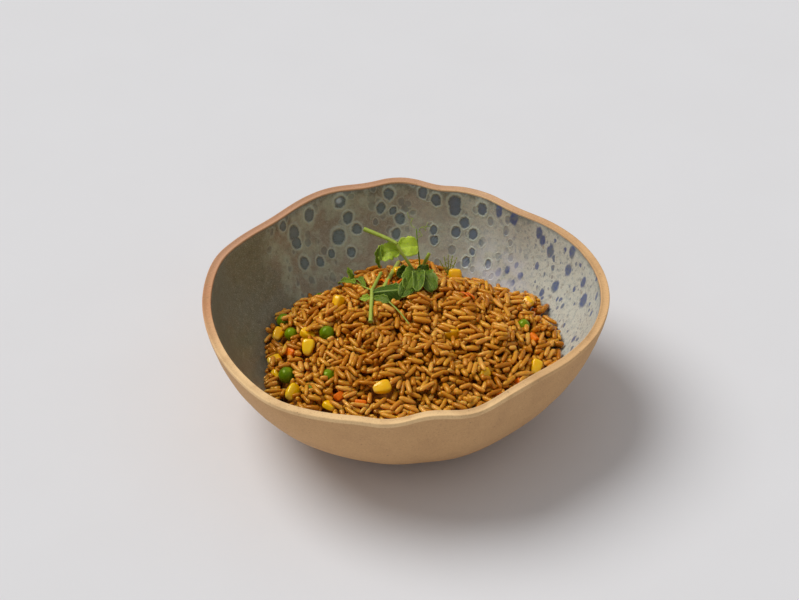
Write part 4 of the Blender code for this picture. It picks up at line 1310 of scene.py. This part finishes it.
def curl(start, end, turns, width):
    """Return points of a curl from start to end in metres, width in mm."""
    axis = end - start
    side = axis.cross(Vector((0, 1, 0.3))).normalized()
    other = axis.cross(side).normalized()
    count = int(turns * 9) + 4
    points = []
    for index in range(count + 1):
        share = index / count
        swing = width * MM * math.sin(math.pi * min(1.0, share * 1.15))
        angle = share * turns * math.tau
        points.append(start + axis * share + side * swing * math.cos(angle)
                      + other * swing * math.sin(angle))
    return points


def mm(x, y, z):
    """Return a point in metres from millimetres."""
    return Vector((x, y, z)) * MM


# Feet of the standing shoot's stem, tendril and stub: column and row, then mm over the heap.
SHOOT_FEET = ((414, 271, 3.0), (420, 267, 1.2), (422.5, 267, 1.6))
# Its upright parts. A place is column and row in the view, then mm back.
RISING_STEM = ((409, 263.5, 41.0), (403, 256, 41.5), (397, 244, 45.0))
CUT_STEM = ((397, 244, 45.0), (392, 240, 47.0), (379, 235, 51.0), (364, 229, 54.6))
TENDRIL = ((419, 256, 46.0), (417, 242, 50.0), (416.5, 229, 55.0))
STUB = ((426, 260, 44.0), (429.5, 253, 46.0))
# Loops of the tendril: start, end, turns, width in mm.
LOOPS = (((417, 232, 54.0), (431, 226, 60.0), 2.4, 1.5),
         ((418, 238, 52.0), (428, 222, 61.0), 1.6, 1.9),
         ((415, 228, 58.0), (407, 212, 70.0), 1.5, 1.7))
# The upright leaves: base, tip, width in mm, way it faces, and its form.
UPRIGHT_LEAVES = (
    ((397, 249, 47.5), (418, 246, 49.0), 11.6, TO_LIGHT,
     dict(fold=0.10, widest=0.56, blunt=0.34, tone=1.0, ragged=0.16, seed=2.0)),
    ((400, 250, 47.0), (377, 256, 45.5), 11.0, TO_LIGHT,
     dict(fold=0.26, widest=0.52, blunt=0.42, tone=0.74, ragged=0.5, wave=0.9, seed=4.1)),
    ((381, 245, 47.0), (380, 268, 44.0), 4.6, (-0.7, -0.7, 0.3),
     dict(fold=0.3, tone=0.2, ragged=0.5, seed=9.3)),
)
# Low leaves in a heap of their own, their places mm over the rice: base, tip, width, tone, fold.
LOW_LEAVES = (
    ((413, 272, 2.2), (397, 276, 1.6), 8.6, 0.02, 0.22),
    ((415, 280, 2.4), (401, 298, 1.4), 9.6, 0.08, 0.14),
    ((417, 270, 3.2), (405, 290, 3.0), 9.8, 0.20, 0.16),
    ((419, 271, 2.2), (433, 291, 1.8), 10.6, 0.14, 0.06),
    ((418, 272, 4.0), (418, 292, 3.2), 7.6, 0.12, 0.26),
    ((417, 269, 3.6), (429, 273, 2.6), 6.6, 0.06, 0.20),
)
LOW_FACING = (0.05, -0.5, 1.0)


def upright(places):
    """Return points in metres for places in the view with mm back."""
    return [seen_at(*place) for place in places]


def on_heap(heap, places):
    """Return points in metres for places in the view with mm over the heap."""
    return [heap.seen(*place) for place in places]


def make_standing_shoot(look, heap):
    """Model the standing shoot: thick stem, upright leaves, curling tendril, low dark leaves."""
    stem_foot, tendril_foot, stub_foot = on_heap(heap, SHOOT_FEET)
    parts = [
        make_stem([stem_foot, *upright(RISING_STEM)], 0.85, 0.75, 1.0),
        make_stem(upright(CUT_STEM), 0.95, 1.2, 0.75),
        make_stem([tendril_foot, *upright(TENDRIL)], 0.5, 0.28, 0.1),
        make_stem([stub_foot, *upright(STUB)], 1.05, 0.9, 1.0),
    ]
    for start, end, turns, width in LOOPS:
        parts.append(make_stem(curl(seen_at(*start), seen_at(*end), turns, width),
                               0.17, 0.11, 0.35, 2))
    for base, tip, width, facing, form in UPRIGHT_LEAVES:
        parts.append(make_leaf(look, seen_at(*base), seen_at(*tip), width, facing, **form))
    for number, (base, tip, width, tone, fold) in enumerate(LOW_LEAVES):
        parts.append(make_leaf(look, heap.seen(*base), heap.seen(*tip), width, LOW_FACING,
                               fold=fold, tone=tone, arch=0.12, wave=1.0, ragged=0.3,
                               blunt=0.42, seed=6.0 + 2 * number))
    shoot = join("standing_shoot", parts)
    finish_piece(shoot, ["shoot_standing"])
    return shoot


# The lying shoot. A place is column and row in the view, then mm over the rice.
KNOT = (372, 290, 2.8)          # where its stems cross
TWIG = (354, 281, 2.0)          # end of the thin twig on the left
# Its stems: places, radius in mm at either end, tone.
LYING_STEMS = (
    (((398.5, 262.5, 2.4), (391, 275, 3.0), (383.5, 288, 2.6)), 1.15, 1.15, 1.0),
    (((381, 273, 2.4), (377, 281, 2.8), KNOT), 0.9, 0.95, 0.8),
    ((KNOT, (371.5, 304, 2.2), (370.5, 322, 1.8)), 1.0, 1.15, 0.85),
    (((389, 302, 1.6), (400, 311, 1.8), (409, 324, 1.5)), 0.45, 0.32, 0.5),
    ((KNOT, (362, 287, 1.8), TWIG), 0.5, 0.38, 0.8),
)
# Its leaves: base, tip, width in mm and form. The first one hangs over its pale rib.
LYING_LEAVES = (
    ((372, 293, 2.8), (405, 290, 2.8), 13.5,
     dict(fold=-0.34, widest=0.55, blunt=0.5, tone=0.04, arch=0.06, seed=3.0)),
    ((374, 297, 1.6), (390, 303, 1.5), 5.0, dict(tone=0.16, ragged=0.4, seed=11.0)),
    ((356, 283, 2.0), (339, 284, 1.7), 5.0, dict(tone=0.35, ragged=0.7, seed=5.0)),
    ((356, 279, 2.2), (366, 287, 1.8), 3.4, dict(tone=0.25, ragged=0.6, seed=13.0)),
    ((371, 298, 1.4), (360, 299, 1.4), 4.0, dict(tone=0.75, ragged=0.4, seed=15.0)),
)
LYING_FACING = (0.0, -0.4, 1.0)
TWIG_LEAF_TIP = (347.5, 267.5)  # column and row of the small leaf that stands up
TWIG_LEAF_LEAN = 4.0            # mm that its tip lies further back than the twig's end
TWIG_LEAF = dict(width=3.0, facing=(0.2, -1, 0.4), tone=0.3, ragged=0.5, seed=7.0)


def make_lying_shoot(look, heap):
    """Model the lying shoot: crossed stems, a dark leaf to the right and small leaves left."""
    parts = [make_stem(on_heap(heap, places), start, end, tone)
             for places, start, end, tone in LYING_STEMS]
    parts += [make_leaf(look, heap.seen(*base), heap.seen(*tip), width, LYING_FACING, **form)
              for base, tip, width, form in LYING_LEAVES]
    twig = heap.seen(*TWIG)
    tip = seen_at(*TWIG_LEAF_TIP, twig.y / MM + TWIG_LEAF_LEAN)
    parts.append(make_leaf(look, twig, tip, **TWIG_LEAF))
    shoot = join("lying_shoot", parts)
    finish_piece(shoot, ["shoot_lying"])
    return shoot


FRONDS_ROOT = (23.0, 56.0, 1.2)     # x, y and lift over the heap in mm
# The fronds' tips: mm to the side of their root and mm above it.
FROND_TIPS = ((-5.0, 9.0), (-2.7, 11.2), (-0.5, 12.4), (1.8, 11.8), (4.2, 10.6))


def make_shoot_tip(heap):
    """Model the feathery tip beside the kernel at the back: fronds with fine side shoots."""
    draw = random.Random(21)
    root = heap.at(*FRONDS_ROOT)
    parts = []
    for lean, rise in FROND_TIPS:
        end = root + mm(lean, 2.2, rise)
        middle = (root + end) / 2 + mm(lean * 0.15, 0, 0.6)
        parts.append(make_stem([root, middle, end], 0.36, 0.18, 0.75, 2))
        for number in range(6):
            share = 0.30 + 0.12 * number
            start = root.lerp(end, share)
            side = 1 if number % 2 else -1
            reach = mm(side * draw.uniform(1.0, 2.0), draw.uniform(-0.3, 0.3),
                       draw.uniform(0.8, 1.8)) * (1.2 - share)
            parts.append(make_stem([start, start + reach * 0.6, start + reach],
                                   0.22, 0.13, 0.8, 1))
    shoot = join("feathery_tip", parts)
    finish_piece(shoot, ["shoot_tip"])
    return shoot


# ---------------------------------------------------------------- rice
# Kinds of grain: length share, width share, bend in degrees, blunt end's place along it.
GRAIN_KINDS = (
    (1.12, 0.94, 22, 1.0), (1.06, 1.00, 8, 1.0), (1.00, 1.04, -18, 1.0), (0.98, 0.92, 30, 1.0),
    (0.94, 1.08, 12, 1.0), (0.88, 0.98, -10, 1.0), (0.84, 1.04, 14, 0.8), (0.70, 1.02, 6, 0.6),
    (0.54, 0.98, 4, 0.7),
)
WHOLE_FIRST = 3.0               # mm that a whole grain may lie higher than a broken one would
FULLNESS = 4.2                  # how blunt a grain's ends are
END_RINGS = 0.62                # under 1 moves a grain's rings towards its ends, to round them
FLATNESS = 0.84                 # a grain's thickness beside its width
CLOUD_SLICES, CLOUD_SPOKES = 61, 20     # points along and round a grain that stand for it
CLOUD_SHELLS = (1.0, 0.55, 0.1)         # shares of its width at which they lie
YAWS = 24
PITCHES = tuple(range(-75, 76, 15))
SINK = 1.20                     # mm that a soft sticky grain beds into what is below
# Rounds of laying: how far below its aim a place still counts as low in mm, tries for each
# grain, how far a grain may rise over the aim in mm, share of grains tipped at random.
LAYING_ROUNDS = ((3.4, 2, 1.0, 0.6), (2.2, 4, 1.8, 0.4), (1.2, 10, 2.4, 0.2), (2.2, 24, 3.0, 0.0),
                 (2.6, 40, 3.6, 0.0))
ENOUGH_CELLS = 60               # a round ends when fewer cells than this are still low
BATCH = 40                      # cells drawn before the low ones are looked for again
REFUSED_REACH = 2               # cells on each side of a refused one that are left out with it
TIPPED_COST = 1.6               # mm that a grain standing on end counts as higher
LOOSE_GRAINS = 260              # grains dropped anywhere at the end
LOOSE_RISE = 2.4                # how far one of them may rise over the aim in mm
LOOSE_TIPPED = 0.7              # share of them that are tipped at random
# Unevenness of the heap's top: height in mm, size of its lumps in mm, place in the noise.
SWELLS = ((3.8, 14.0, 3.0), (2.4, 7.0, 9.0))
SHIFT = 0.15                    # mm by which a grain may miss its cell's middle
TWIST = 0.1                     # radians by which a grain may miss its turn and its tip
GROWTH = (0.96, 1.03)           # least and greatest size of a grain beside its kind's
SHOOT_CLEARANCE = 0.15          # mm left free under the shoots
CORE_GAP = 0.4                  # mm between the bowl and the rice's core
CORE_START = 20.0               # mm from the axis, where the core is sure to lie in the heap
CORE_STEP = 0.2                 # mm by which the core's edge is searched for
CLUMP = 15.0                    # mm across a clump whose grains lie alike
ALIKE = 0.35                    # share of the grains that follow their clump
SHADE_PATCH = 17.0              # mm across a patch that took more sauce
UNDERSIDE_SHADE = swatch(166, 88, 8)      # painted shade: a darker amber on the lower side of each grain
RICE_SHEEN = swatch(255, 222, 150)
# Painted shade: the dark tints of the core that shows between the grains.
CORE_SHADES = (swatch(172, 104, 18), swatch(118, 60, 6))
# Pieces of rice: setting of their colour, dark and light shade, share of the grains, and how
# much that share changes where a patch took more sauce.
SHADES = {
    "rice_golden": ("golden", swatch(186, 114, 18), swatch(232, 172, 62), 0.46, 0.0),
    "rice_pale": ("pale", swatch(204, 131, 36), swatch(243, 188, 94), 0.30, -0.3),
    "rice_browned": ("browned", swatch(162, 94, 10), swatch(212, 144, 38), 0.24, 0.3),
}
LAID_ROUND = ("peas", "sweetcorn", "carrot_dice")
LAID_UNDER = ("carrot_shreds", "standing_shoot", "lying_shoot", "feathery_tip")


def make_grain(length, width, bend, blunt):
    """Model one grain along X: a slim ball with full sides, bent, its end blunt if broken."""
    deselect_all()
    bpy.ops.mesh.primitive_uv_sphere_add(segments=8, ring_count=6, radius=1,
                                         rotation=(0, math.pi / 2, 0))
    grain = bpy.context.object
    bpy.ops.object.transform_apply(rotation=True)
    for vert in grain.data.vertices:
        share = min(1.0, abs(vert.co.x)) ** END_RINGS
        girth = math.hypot(vert.co.y, vert.co.z)
        full = max(0.0, 1 - share ** FULLNESS) ** 0.5
        stretch = full / girth if girth > 1e-4 else 1.0
        vert.co.x = math.copysign(share, vert.co.x)
        vert.co.y *= stretch
        vert.co.z *= stretch * FLATNESS
    with editing():
        bpy.ops.transform.resize(value=(length / 2, width / 2, width / 2))
    apply_modifier(grain, "SIMPLE_DEFORM", deform_method="BEND", deform_axis="Z",
                   angle=math.radians(bend))
    for vert in grain.data.vertices:
        vert.co.x = min(vert.co.x, blunt * length / 2)
    return grain


def shape_cloud(length, width, blunt):
    """Return points in mm over a grain's surface, close enough to leave no cell untouched."""
    along = np.linspace(-1, 1, CLOUD_SLICES)
    girth = np.maximum(1 - np.abs(along) ** FULLNESS, 0.0) ** 0.5 * width / 2
    around = np.linspace(0, math.tau, CLOUD_SPOKES, endpoint=False)
    x = np.repeat(np.minimum(along, blunt) * length / 2, CLOUD_SPOKES)
    y = (girth[:, None] * np.cos(around)[None, :]).ravel()
    z = (girth[:, None] * np.sin(around)[None, :]).ravel() * 0.94
    shells = [(x, y * share, z * share) for share in CLOUD_SHELLS]
    return np.array([np.concatenate(parts) for parts in zip(*shells)])


def turned(yaw, pitch, roll=0.0):
    """Return the turn of a grain: roll about itself, then tip up, then turn about Z."""
    return (Matrix.Rotation(yaw, 3, "Z") @ Matrix.Rotation(-pitch, 3, "Y")
            @ Matrix.Rotation(roll, 3, "X"))


def footprint(cloud, yaw, pitch):
    """Return the cells a turned grain covers, as offsets, with its lowest and highest z there."""
    x, y, z = np.array(turned(yaw, pitch)) @ cloud
    cells = np.rint(y / CELL).astype(int) * ROWS + np.rint(x / CELL).astype(int)
    offsets, back = np.unique(cells, return_inverse=True)
    low = np.full(len(offsets), 1e9)
    high = np.full(len(offsets), -1e9)
    np.minimum.at(low, back, z)
    np.maximum.at(high, back, z)
    return offsets, low, high


class Packing:
    """Drops grains one by one to the lowest rest found, on a map of heights in mm."""

    def __init__(self, ground, ceiling, target, clouds):
        self.ground = ground.ravel().copy()
        self.ceiling = ceiling.ravel()
        self.target = target.ravel()
        self.prints = {(kind, yaw, pitch): footprint(cloud, math.tau * yaw / YAWS,
                                                     math.radians(pitch))
                       for kind, cloud in enumerate(clouds)
                       for yaw in range(YAWS) for pitch in PITCHES}
        self.placed = []
        self.refused = np.zeros(len(self.ground), dtype=bool)

    def rest(self, cell, key):
        """Return the height of a grain's middle at rest on a cell, or None if it can't lie there."""
        offsets, low, high = self.prints[key]
        cells = cell + offsets
        middle = (self.ground[cells] - low).max()
        if (middle + high > self.ceiling[cells]).any():
            return None
        return middle

    def drop(self, draw, cell, tries, allowance, rough):
        """Lay one grain over a cell in the lowest way found; return False if all are too high."""
        best = None
        row, column = divmod(cell, ROWS)
        lie = noise.noise(Vector((CENTRES[column], CENTRES[row], 70.0)) / CLUMP) * 2 * YAWS
        for _ in range(tries):
            kind = draw.randrange(len(GRAIN_KINDS))
            yaw = draw.randrange(YAWS)
            if draw.random() < ALIKE:
                yaw = round(lie + draw.gauss(0, 1.8)) % YAWS
            pitches = PITCHES
            if draw.random() < rough:
                pitches = (draw.choice(PITCHES),)
            for pitch in pitches:
                middle = self.rest(cell, (kind, yaw, pitch))
                if middle is None:
                    continue
                tipped = abs(math.sin(math.radians(pitch)))
                rise = middle + tipped * TIPPED_COST - self.target[cell]
                score = rise - WHOLE_FIRST * GRAIN_KINDS[kind][0]
                if rise <= allowance and (best is None or score < best[0]):
                    best = (score, middle, kind, yaw, pitch)
        if best is None:
            return False
        _, middle, kind, yaw, pitch = best
        middle -= SINK
        offsets, _, high = self.prints[(kind, yaw, pitch)]
        cells = cell + offsets
        self.ground[cells] = np.maximum(self.ground[cells], middle + high)
        self.placed.append((cell, middle, kind, yaw, pitch))
        return True

    def lay(self, draw, inner, count, below, tries, allowance, rough):
        """Lay grains where the ground is still low, until few such places are left."""
        self.refused[:] = False
        cells = []
        while len(self.placed) < count:
            if not cells:
                low = inner & ~self.refused & (self.ground < self.target - below)
                found = np.flatnonzero(low)
                if len(found) < ENOUGH_CELLS:
                    return
                cells = [int(found[draw.randrange(len(found))]) for _ in range(BATCH)]
            cell = cells.pop()
            if self.ground[cell] >= self.target[cell] - below:
                continue
            if not self.drop(draw, cell, tries, allowance, rough):
                for row in range(-REFUSED_REACH, REFUSED_REACH + 1):
                    start = cell + row * ROWS
                    self.refused[start - REFUSED_REACH:start + REFUSED_REACH + 1] = True


def rice_skin(look, name):
    """Return a grain's material: its tone, painted shade on its lower side and a thin film of oil.
    """
    setting, dark, light, _, _ = SHADES[name]
    made, nodes, shader = new_material(name.replace("_", " "))
    place = nodes.place()
    along = nodes.math("ABSOLUTE", nodes.value("along"))
    skin = nodes.mix(dark, light, nodes.value("tone"))
    skin = nodes.mix(skin, getattr(look, setting), 0.4)
    stains = nodes.noise(place, 2.6, detail=3.0)
    skin = nodes.mix(skin, dark, nodes.step(stains, 0.48, 0.72), 0.55)
    skin = nodes.mix(skin, light, nodes.step(along, 0.6, 1.0), 0.35)
    # Painted shade: each grain darkens towards amber on its lower side, by its corners' height,
    # broken up by the stains.
    shade_height = nodes.math("ADD", nodes.value("over"), nodes.math("MULTIPLY_ADD", stains, 0.8, -0.4))
    skin = nodes.mix(skin, UNDERSIDE_SHADE, nodes.step(shade_height, 0.45, -0.55), 0.7)
    cover(nodes, shader, skin, film_on(nodes, place, 0.30, 0.14, 1.8),
          nodes.bump(nodes.noise(place, 1.1, detail=1.0), 0.06))
    shine(shader, 0.6, RICE_SHEEN)
    soak(shader, 0.7, 2.4, (1.0, 0.55, 0.14))
    return made


def shaded_rice():
    """Return the core's material: dark rice, painted shade that only shows between the grains."""
    made, nodes, shader = new_material("rice in the shade")
    place = nodes.place()
    patches = nodes.step(nodes.noise(place, 2.0, detail=3.0), 0.35, 0.65)
    cover(nodes, shader, nodes.mix(*CORE_SHADES, patches), 0.7,
          nodes.bump(nodes.noise(place, 2.2), 1.2))
    shader.inputs["Specular IOR Level"].default_value = 0.2
    return made


def core_reach(heap, top, floor, angle):
    """Return how far from the axis in mm the core reaches at an angle."""
    radius = CORE_START
    while radius < HALF - 2:
        cell = cell_at(math.cos(angle) * radius, math.sin(angle) * radius)
        if not heap.inside[cell] or floor[cell] > top[cell]:
            break
        radius += CORE_STEP
    return radius


def make_bed(look, heap):
    """Model the heap's dark core: a ball whose points are moved to the heap's top and floor."""
    deselect_all()
    bpy.ops.mesh.primitive_uv_sphere_add(segments=96, ring_count=48, radius=1)
    bed = bpy.context.object
    top = heap.top - look.depth / MM
    floor = heap.bowl + CORE_GAP
    reach = {}
    for vert in bed.data.vertices:
        angle = math.atan2(vert.co.y, vert.co.x) if vert.co.xy.length > 1e-6 else 0.0
        key = round(angle, 4)
        if key not in reach:
            reach[key] = core_reach(heap, top, floor, angle)
        share = vert.co.xy.length
        x, y = (c * share * reach[key] for c in (math.cos(angle), math.sin(angle)))
        cell = cell_at(x, y)
        height = max(top[cell], floor[cell]) if vert.co.z > 0 else floor[cell]
        vert.co = mm(x, y, height)
    bed.name = bed.data.name = "rice_bed"
    bed.data.materials.append(shaded_rice())
    bpy.ops.object.shade_smooth()
    finish_piece(bed, ["rice"])
    return bed


def lay_grains(look, heap, obstacles, overhead, core):
    """Return the packing of grains between the core and the heap's even top."""
    ground = np.fmax(heap.bowl, np.nan_to_num(height_map([core]), nan=-1e3))
    ground = np.fmax(ground, np.nan_to_num(height_map(obstacles), nan=-1e3))
    ceiling = np.nan_to_num(height_map(overhead, upward=True), nan=1e3) - SHOOT_CLEARANCE
    clouds = [shape_cloud(look.grain_length / MM * long, look.grain_width / MM * wide, blunt)
              for long, wide, _, blunt in GRAIN_KINDS]
    swell = np.array([[sum(height * noise.noise(Vector((x, y, seed)) / size)
                           for height, size, seed in SWELLS) for x in CENTRES] for y in CENTRES])
    target = np.where(heap.inside, heap.top + swell, heap.bowl)
    packing = Packing(ground, ceiling, target, clouds)
    draw = random.Random(look.seed)
    inner = heap.inside.ravel()
    for settings in LAYING_ROUNDS:
        packing.lay(draw, inner, look.count, *settings)
    everywhere = np.flatnonzero(inner)
    for _ in range(LOOSE_GRAINS):
        packing.drop(draw, int(draw.choice(everywhere)), 1, LOOSE_RISE, LOOSE_TIPPED)
    return packing


def grain_patterns(look):
    """Return the corners, the faces and the half length of each kind of grain."""
    patterns = []
    for long, wide, bend, blunt in GRAIN_KINDS:
        grain = make_grain(look.grain_length * long, look.grain_width * wide, bend, blunt)
        faces = [list(face.vertices) for face in grain.data.polygons]
        patterns.append((vertex_array(grain.data), faces, look.grain_length * long / 2))
        bpy.data.objects.remove(grain, do_unlink=True)
    return patterns


class GrainSet:
    """Grains of one shade, gathered until they are made into one piece."""

    def __init__(self):
        self.corners = []
        self.faces = []
        self.values = {"tone": [], "along": [], "over": []}
        self.count = 0

    def add(self, corners, faces, **values):
        """Add a grain: its corners, its faces and the numbers stored on its corners."""
        self.faces += [[self.count + index for index in face] for face in faces]
        self.corners.append(corners)
        self.count += len(corners)
        for name, numbers in values.items():
            self.values[name].append(numbers)

    def make_piece(self, name, material):
        """Make one piece of the grains."""
        mesh = bpy.data.meshes.new(name)
        mesh.from_pydata(np.concatenate(self.corners).tolist(), [], self.faces)
        for label, blocks in self.values.items():
            set_values(mesh, label, np.concatenate(blocks))
        piece = add_object(name, mesh)
        bpy.ops.object.shade_smooth()
        mesh.materials.append(material)
        finish_piece(piece, ["rice"])


def make_rice(look, heap, obstacles, overhead):
    """Model the rice: a dark core, and grains laid on it one by one in three shades."""
    core = make_bed(look, heap)
    packing = lay_grains(look, heap, obstacles, overhead, core)
    draw = random.Random(look.seed + 1)
    patterns = grain_patterns(look)
    sets = {name: GrainSet() for name in SHADES}
    for cell, middle, kind, yaw, pitch in packing.placed:
        row, column = divmod(cell, ROWS)
        x = CENTRES[column] + draw.uniform(-SHIFT, SHIFT)
        y = CENTRES[row] + draw.uniform(-SHIFT, SHIFT)
        stained = noise.noise(Vector((x, y, 40.0)) / SHADE_PATCH)
        shares = [share + change * stained for *_, share, change in SHADES.values()]
        name = draw.choices(list(SHADES), shares)[0]
        local, faces, half = patterns[kind]
        turn = turned(math.tau * yaw / YAWS + draw.uniform(-TWIST, TWIST),
                      math.radians(pitch) + draw.uniform(-TWIST, TWIST),
                      draw.uniform(0, math.tau))
        placed = local @ np.array(turn).T * draw.uniform(*GROWTH)
        # over is each corner's height on its grain; the material uses it to paint shade on the
        # grain's lower side.
        sets[name].add(placed + np.array((x, y, middle)) * MM, faces,
                       tone=np.full(len(local), draw.random()), along=local[:, 0] / half,
                       over=placed[:, 2] / (look.grain_width / 2))
    for name, grains in sets.items():
        grains.make_piece(name, rice_skin(look, name))


# ---------------------------------------------------------------- stage
KEY_WAY = (-0.70, 0.34, 1.1)                # towards the soft key light, at the back left
KEY_SPREAD = math.radians(38)
KEY_TINT = (1.0, 0.985, 0.96)
ROOM_TINT = (1.0, 0.98, 0.97, 1.0)
FLOOR_SIZE = 12                             # m
FLOOR_HEIGHT = -0.0001                      # m, so that it never meets the bowl's foot
FLOOR_CLOUDS = swatch(214, 214, 216)


def lay_floor(look):
    """Lay the pale table."""
    deselect_all()
    bpy.ops.mesh.primitive_plane_add(size=FLOOR_SIZE, location=(0, 0, FLOOR_HEIGHT))
    floor = bpy.context.object
    floor.name = "floor"
    bpy.ops.object.transform_apply(location=True)
    made, nodes, shader = new_material("pale table")
    clouds = nodes.noise(nodes.place(), 60.0, detail=4.0)
    nodes.put(shader.inputs["Base Color"], nodes.mix(look.floor, FLOOR_CLOUDS, clouds, 0.3))
    shader.inputs["Roughness"].default_value = 0.8
    floor.data.materials.append(made)


def set_camera():
    """Set up the camera where the picture was taken from."""
    camera = bpy.data.cameras.new("camera")
    camera.sensor_width = 36
    camera.lens = CAMERA_LENS
    camera.clip_start, camera.clip_end = 0.01, 30
    eye = bpy.data.objects.new("camera", camera)
    bpy.context.scene.collection.objects.link(eye)
    eye.location = Vector(CAMERA_PLACE) * MM
    eye.rotation_euler = (math.pi / 2 - CAMERA_HEIGHT_ANGLE, 0, 0)
    bpy.context.scene.camera = eye


def set_lights(look):
    """Set up the soft light from the back left and the light all round."""
    lamp = bpy.data.lights.new("window light", "SUN")
    lamp.angle = KEY_SPREAD
    lamp.energy = look.key
    lamp.color = KEY_TINT
    window = bpy.data.objects.new("window light", lamp)
    bpy.context.scene.collection.objects.link(window)
    window.location = KEY_WAY
    window.rotation_euler = Vector(KEY_WAY).to_track_quat("Z", "Y").to_euler()
    world = bpy.data.worlds.new("room")
    world.use_nodes = True
    bpy.context.scene.world = world
    room = world.node_tree.nodes["Background"]
    room.inputs["Color"].default_value = ROOM_TINT
    room.inputs["Strength"].default_value = look.fill


def set_stage(look):
    """Set up the floor, the camera and the lights."""
    lay_floor(look)
    set_camera()
    set_lights(look)
    bpy.context.scene.view_settings.view_transform = "Standard"
    deselect_all()


# ---------------------------------------------------------------- operators
class RICEBOWL_OT_stage(bpy.types.Operator):
    """Set up the floor, the lights and the camera"""

    bl_idname = "ricebowl.stage"
    bl_label = "Stage"

    def execute(self, context):
        set_stage(context.scene.stage_look)
        return {"FINISHED"}


class RICEBOWL_OT_bowl(bpy.types.Operator):
    """Make the glazed stoneware bowl"""

    bl_idname = "ricebowl.bowl"
    bl_label = "Stoneware bowl"

    def execute(self, context):
        make_bowl(context.scene.bowl_look)
        return {"FINISHED"}


class RICEBOWL_OT_peas(bpy.types.Operator):
    """Make the peas"""

    bl_idname = "ricebowl.peas"
    bl_label = "Peas"

    def execute(self, context):
        make_peas(context.scene.vegetable_look)
        return {"FINISHED"}


class RICEBOWL_OT_sweetcorn(bpy.types.Operator):
    """Make the sweetcorn kernels"""

    bl_idname = "ricebowl.sweetcorn"
    bl_label = "Sweetcorn"

    def execute(self, context):
        make_sweetcorn(context.scene.vegetable_look)
        return {"FINISHED"}


class RICEBOWL_OT_carrot(bpy.types.Operator):
    """Make the carrot dice and shreds"""

    bl_idname = "ricebowl.carrot"
    bl_label = "Carrot"

    def execute(self, context):
        make_carrot_dice(context.scene.vegetable_look, packed_heap())
        make_carrot_shreds(packed_heap())
        return {"FINISHED"}


class RICEBOWL_OT_shoots(bpy.types.Operator):
    """Make the pea shoots"""

    bl_idname = "ricebowl.shoots"
    bl_label = "Pea shoots"

    def execute(self, context):
        look = context.scene.shoot_look
        heap = packed_heap()
        leaf_skin(look)
        stem_skin(look)
        make_standing_shoot(look, heap)
        make_lying_shoot(look, heap)
        make_shoot_tip(heap)
        return {"FINISHED"}


class RICEBOWL_OT_rice(bpy.types.Operator):
    """Lay the rice round the vegetables and under the shoots"""

    bl_idname = "ricebowl.rice"
    bl_label = "Rice"

    def execute(self, context):
        obstacles, overhead = ([bpy.data.objects[name] for name in names]
                               for names in (LAID_ROUND, LAID_UNDER))
        make_rice(context.scene.rice_look, packed_heap(), obstacles, overhead)
        return {"FINISHED"}


OPERATORS = (
    RICEBOWL_OT_stage, RICEBOWL_OT_bowl, RICEBOWL_OT_peas, RICEBOWL_OT_sweetcorn,
    RICEBOWL_OT_carrot, RICEBOWL_OT_shoots, RICEBOWL_OT_rice,
)


class RICEBOWL_PT_panel(bpy.types.Panel):
    """The steps that make the bowl of rice, in order"""

    bl_idname = "RICEBOWL_PT_panel"
    bl_label = "Rice Bowl"
    bl_space_type = "VIEW_3D"
    bl_region_type = "UI"
    bl_category = "Rice Bowl"

    def draw(self, context):
        for operator in OPERATORS:
            self.layout.operator(operator.bl_idname)
        for name, group in SETTINGS.items():
            look = getattr(context.scene, name)
            for setting in group.__annotations__:
                self.layout.prop(look, setting)


def register():
    for item in (*SETTINGS.values(), *OPERATORS, RICEBOWL_PT_panel):
        bpy.utils.register_class(item)
    for name, group in SETTINGS.items():
        setattr(bpy.types.Scene, name, PointerProperty(type=group))


def unregister():
    for name in SETTINGS:
        delattr(bpy.types.Scene, name)
    for item in reversed((*SETTINGS.values(), *OPERATORS, RICEBOWL_PT_panel)):
        bpy.utils.unregister_class(item)


def main():
    register()
    bpy.ops.ricebowl.stage()
    bpy.ops.ricebowl.bowl()
    bpy.ops.ricebowl.peas()
    bpy.ops.ricebowl.sweetcorn()
    bpy.ops.ricebowl.carrot()
    bpy.ops.ricebowl.shoots()
    bpy.ops.ricebowl.rice()


if __name__ == "__main__":
    main()
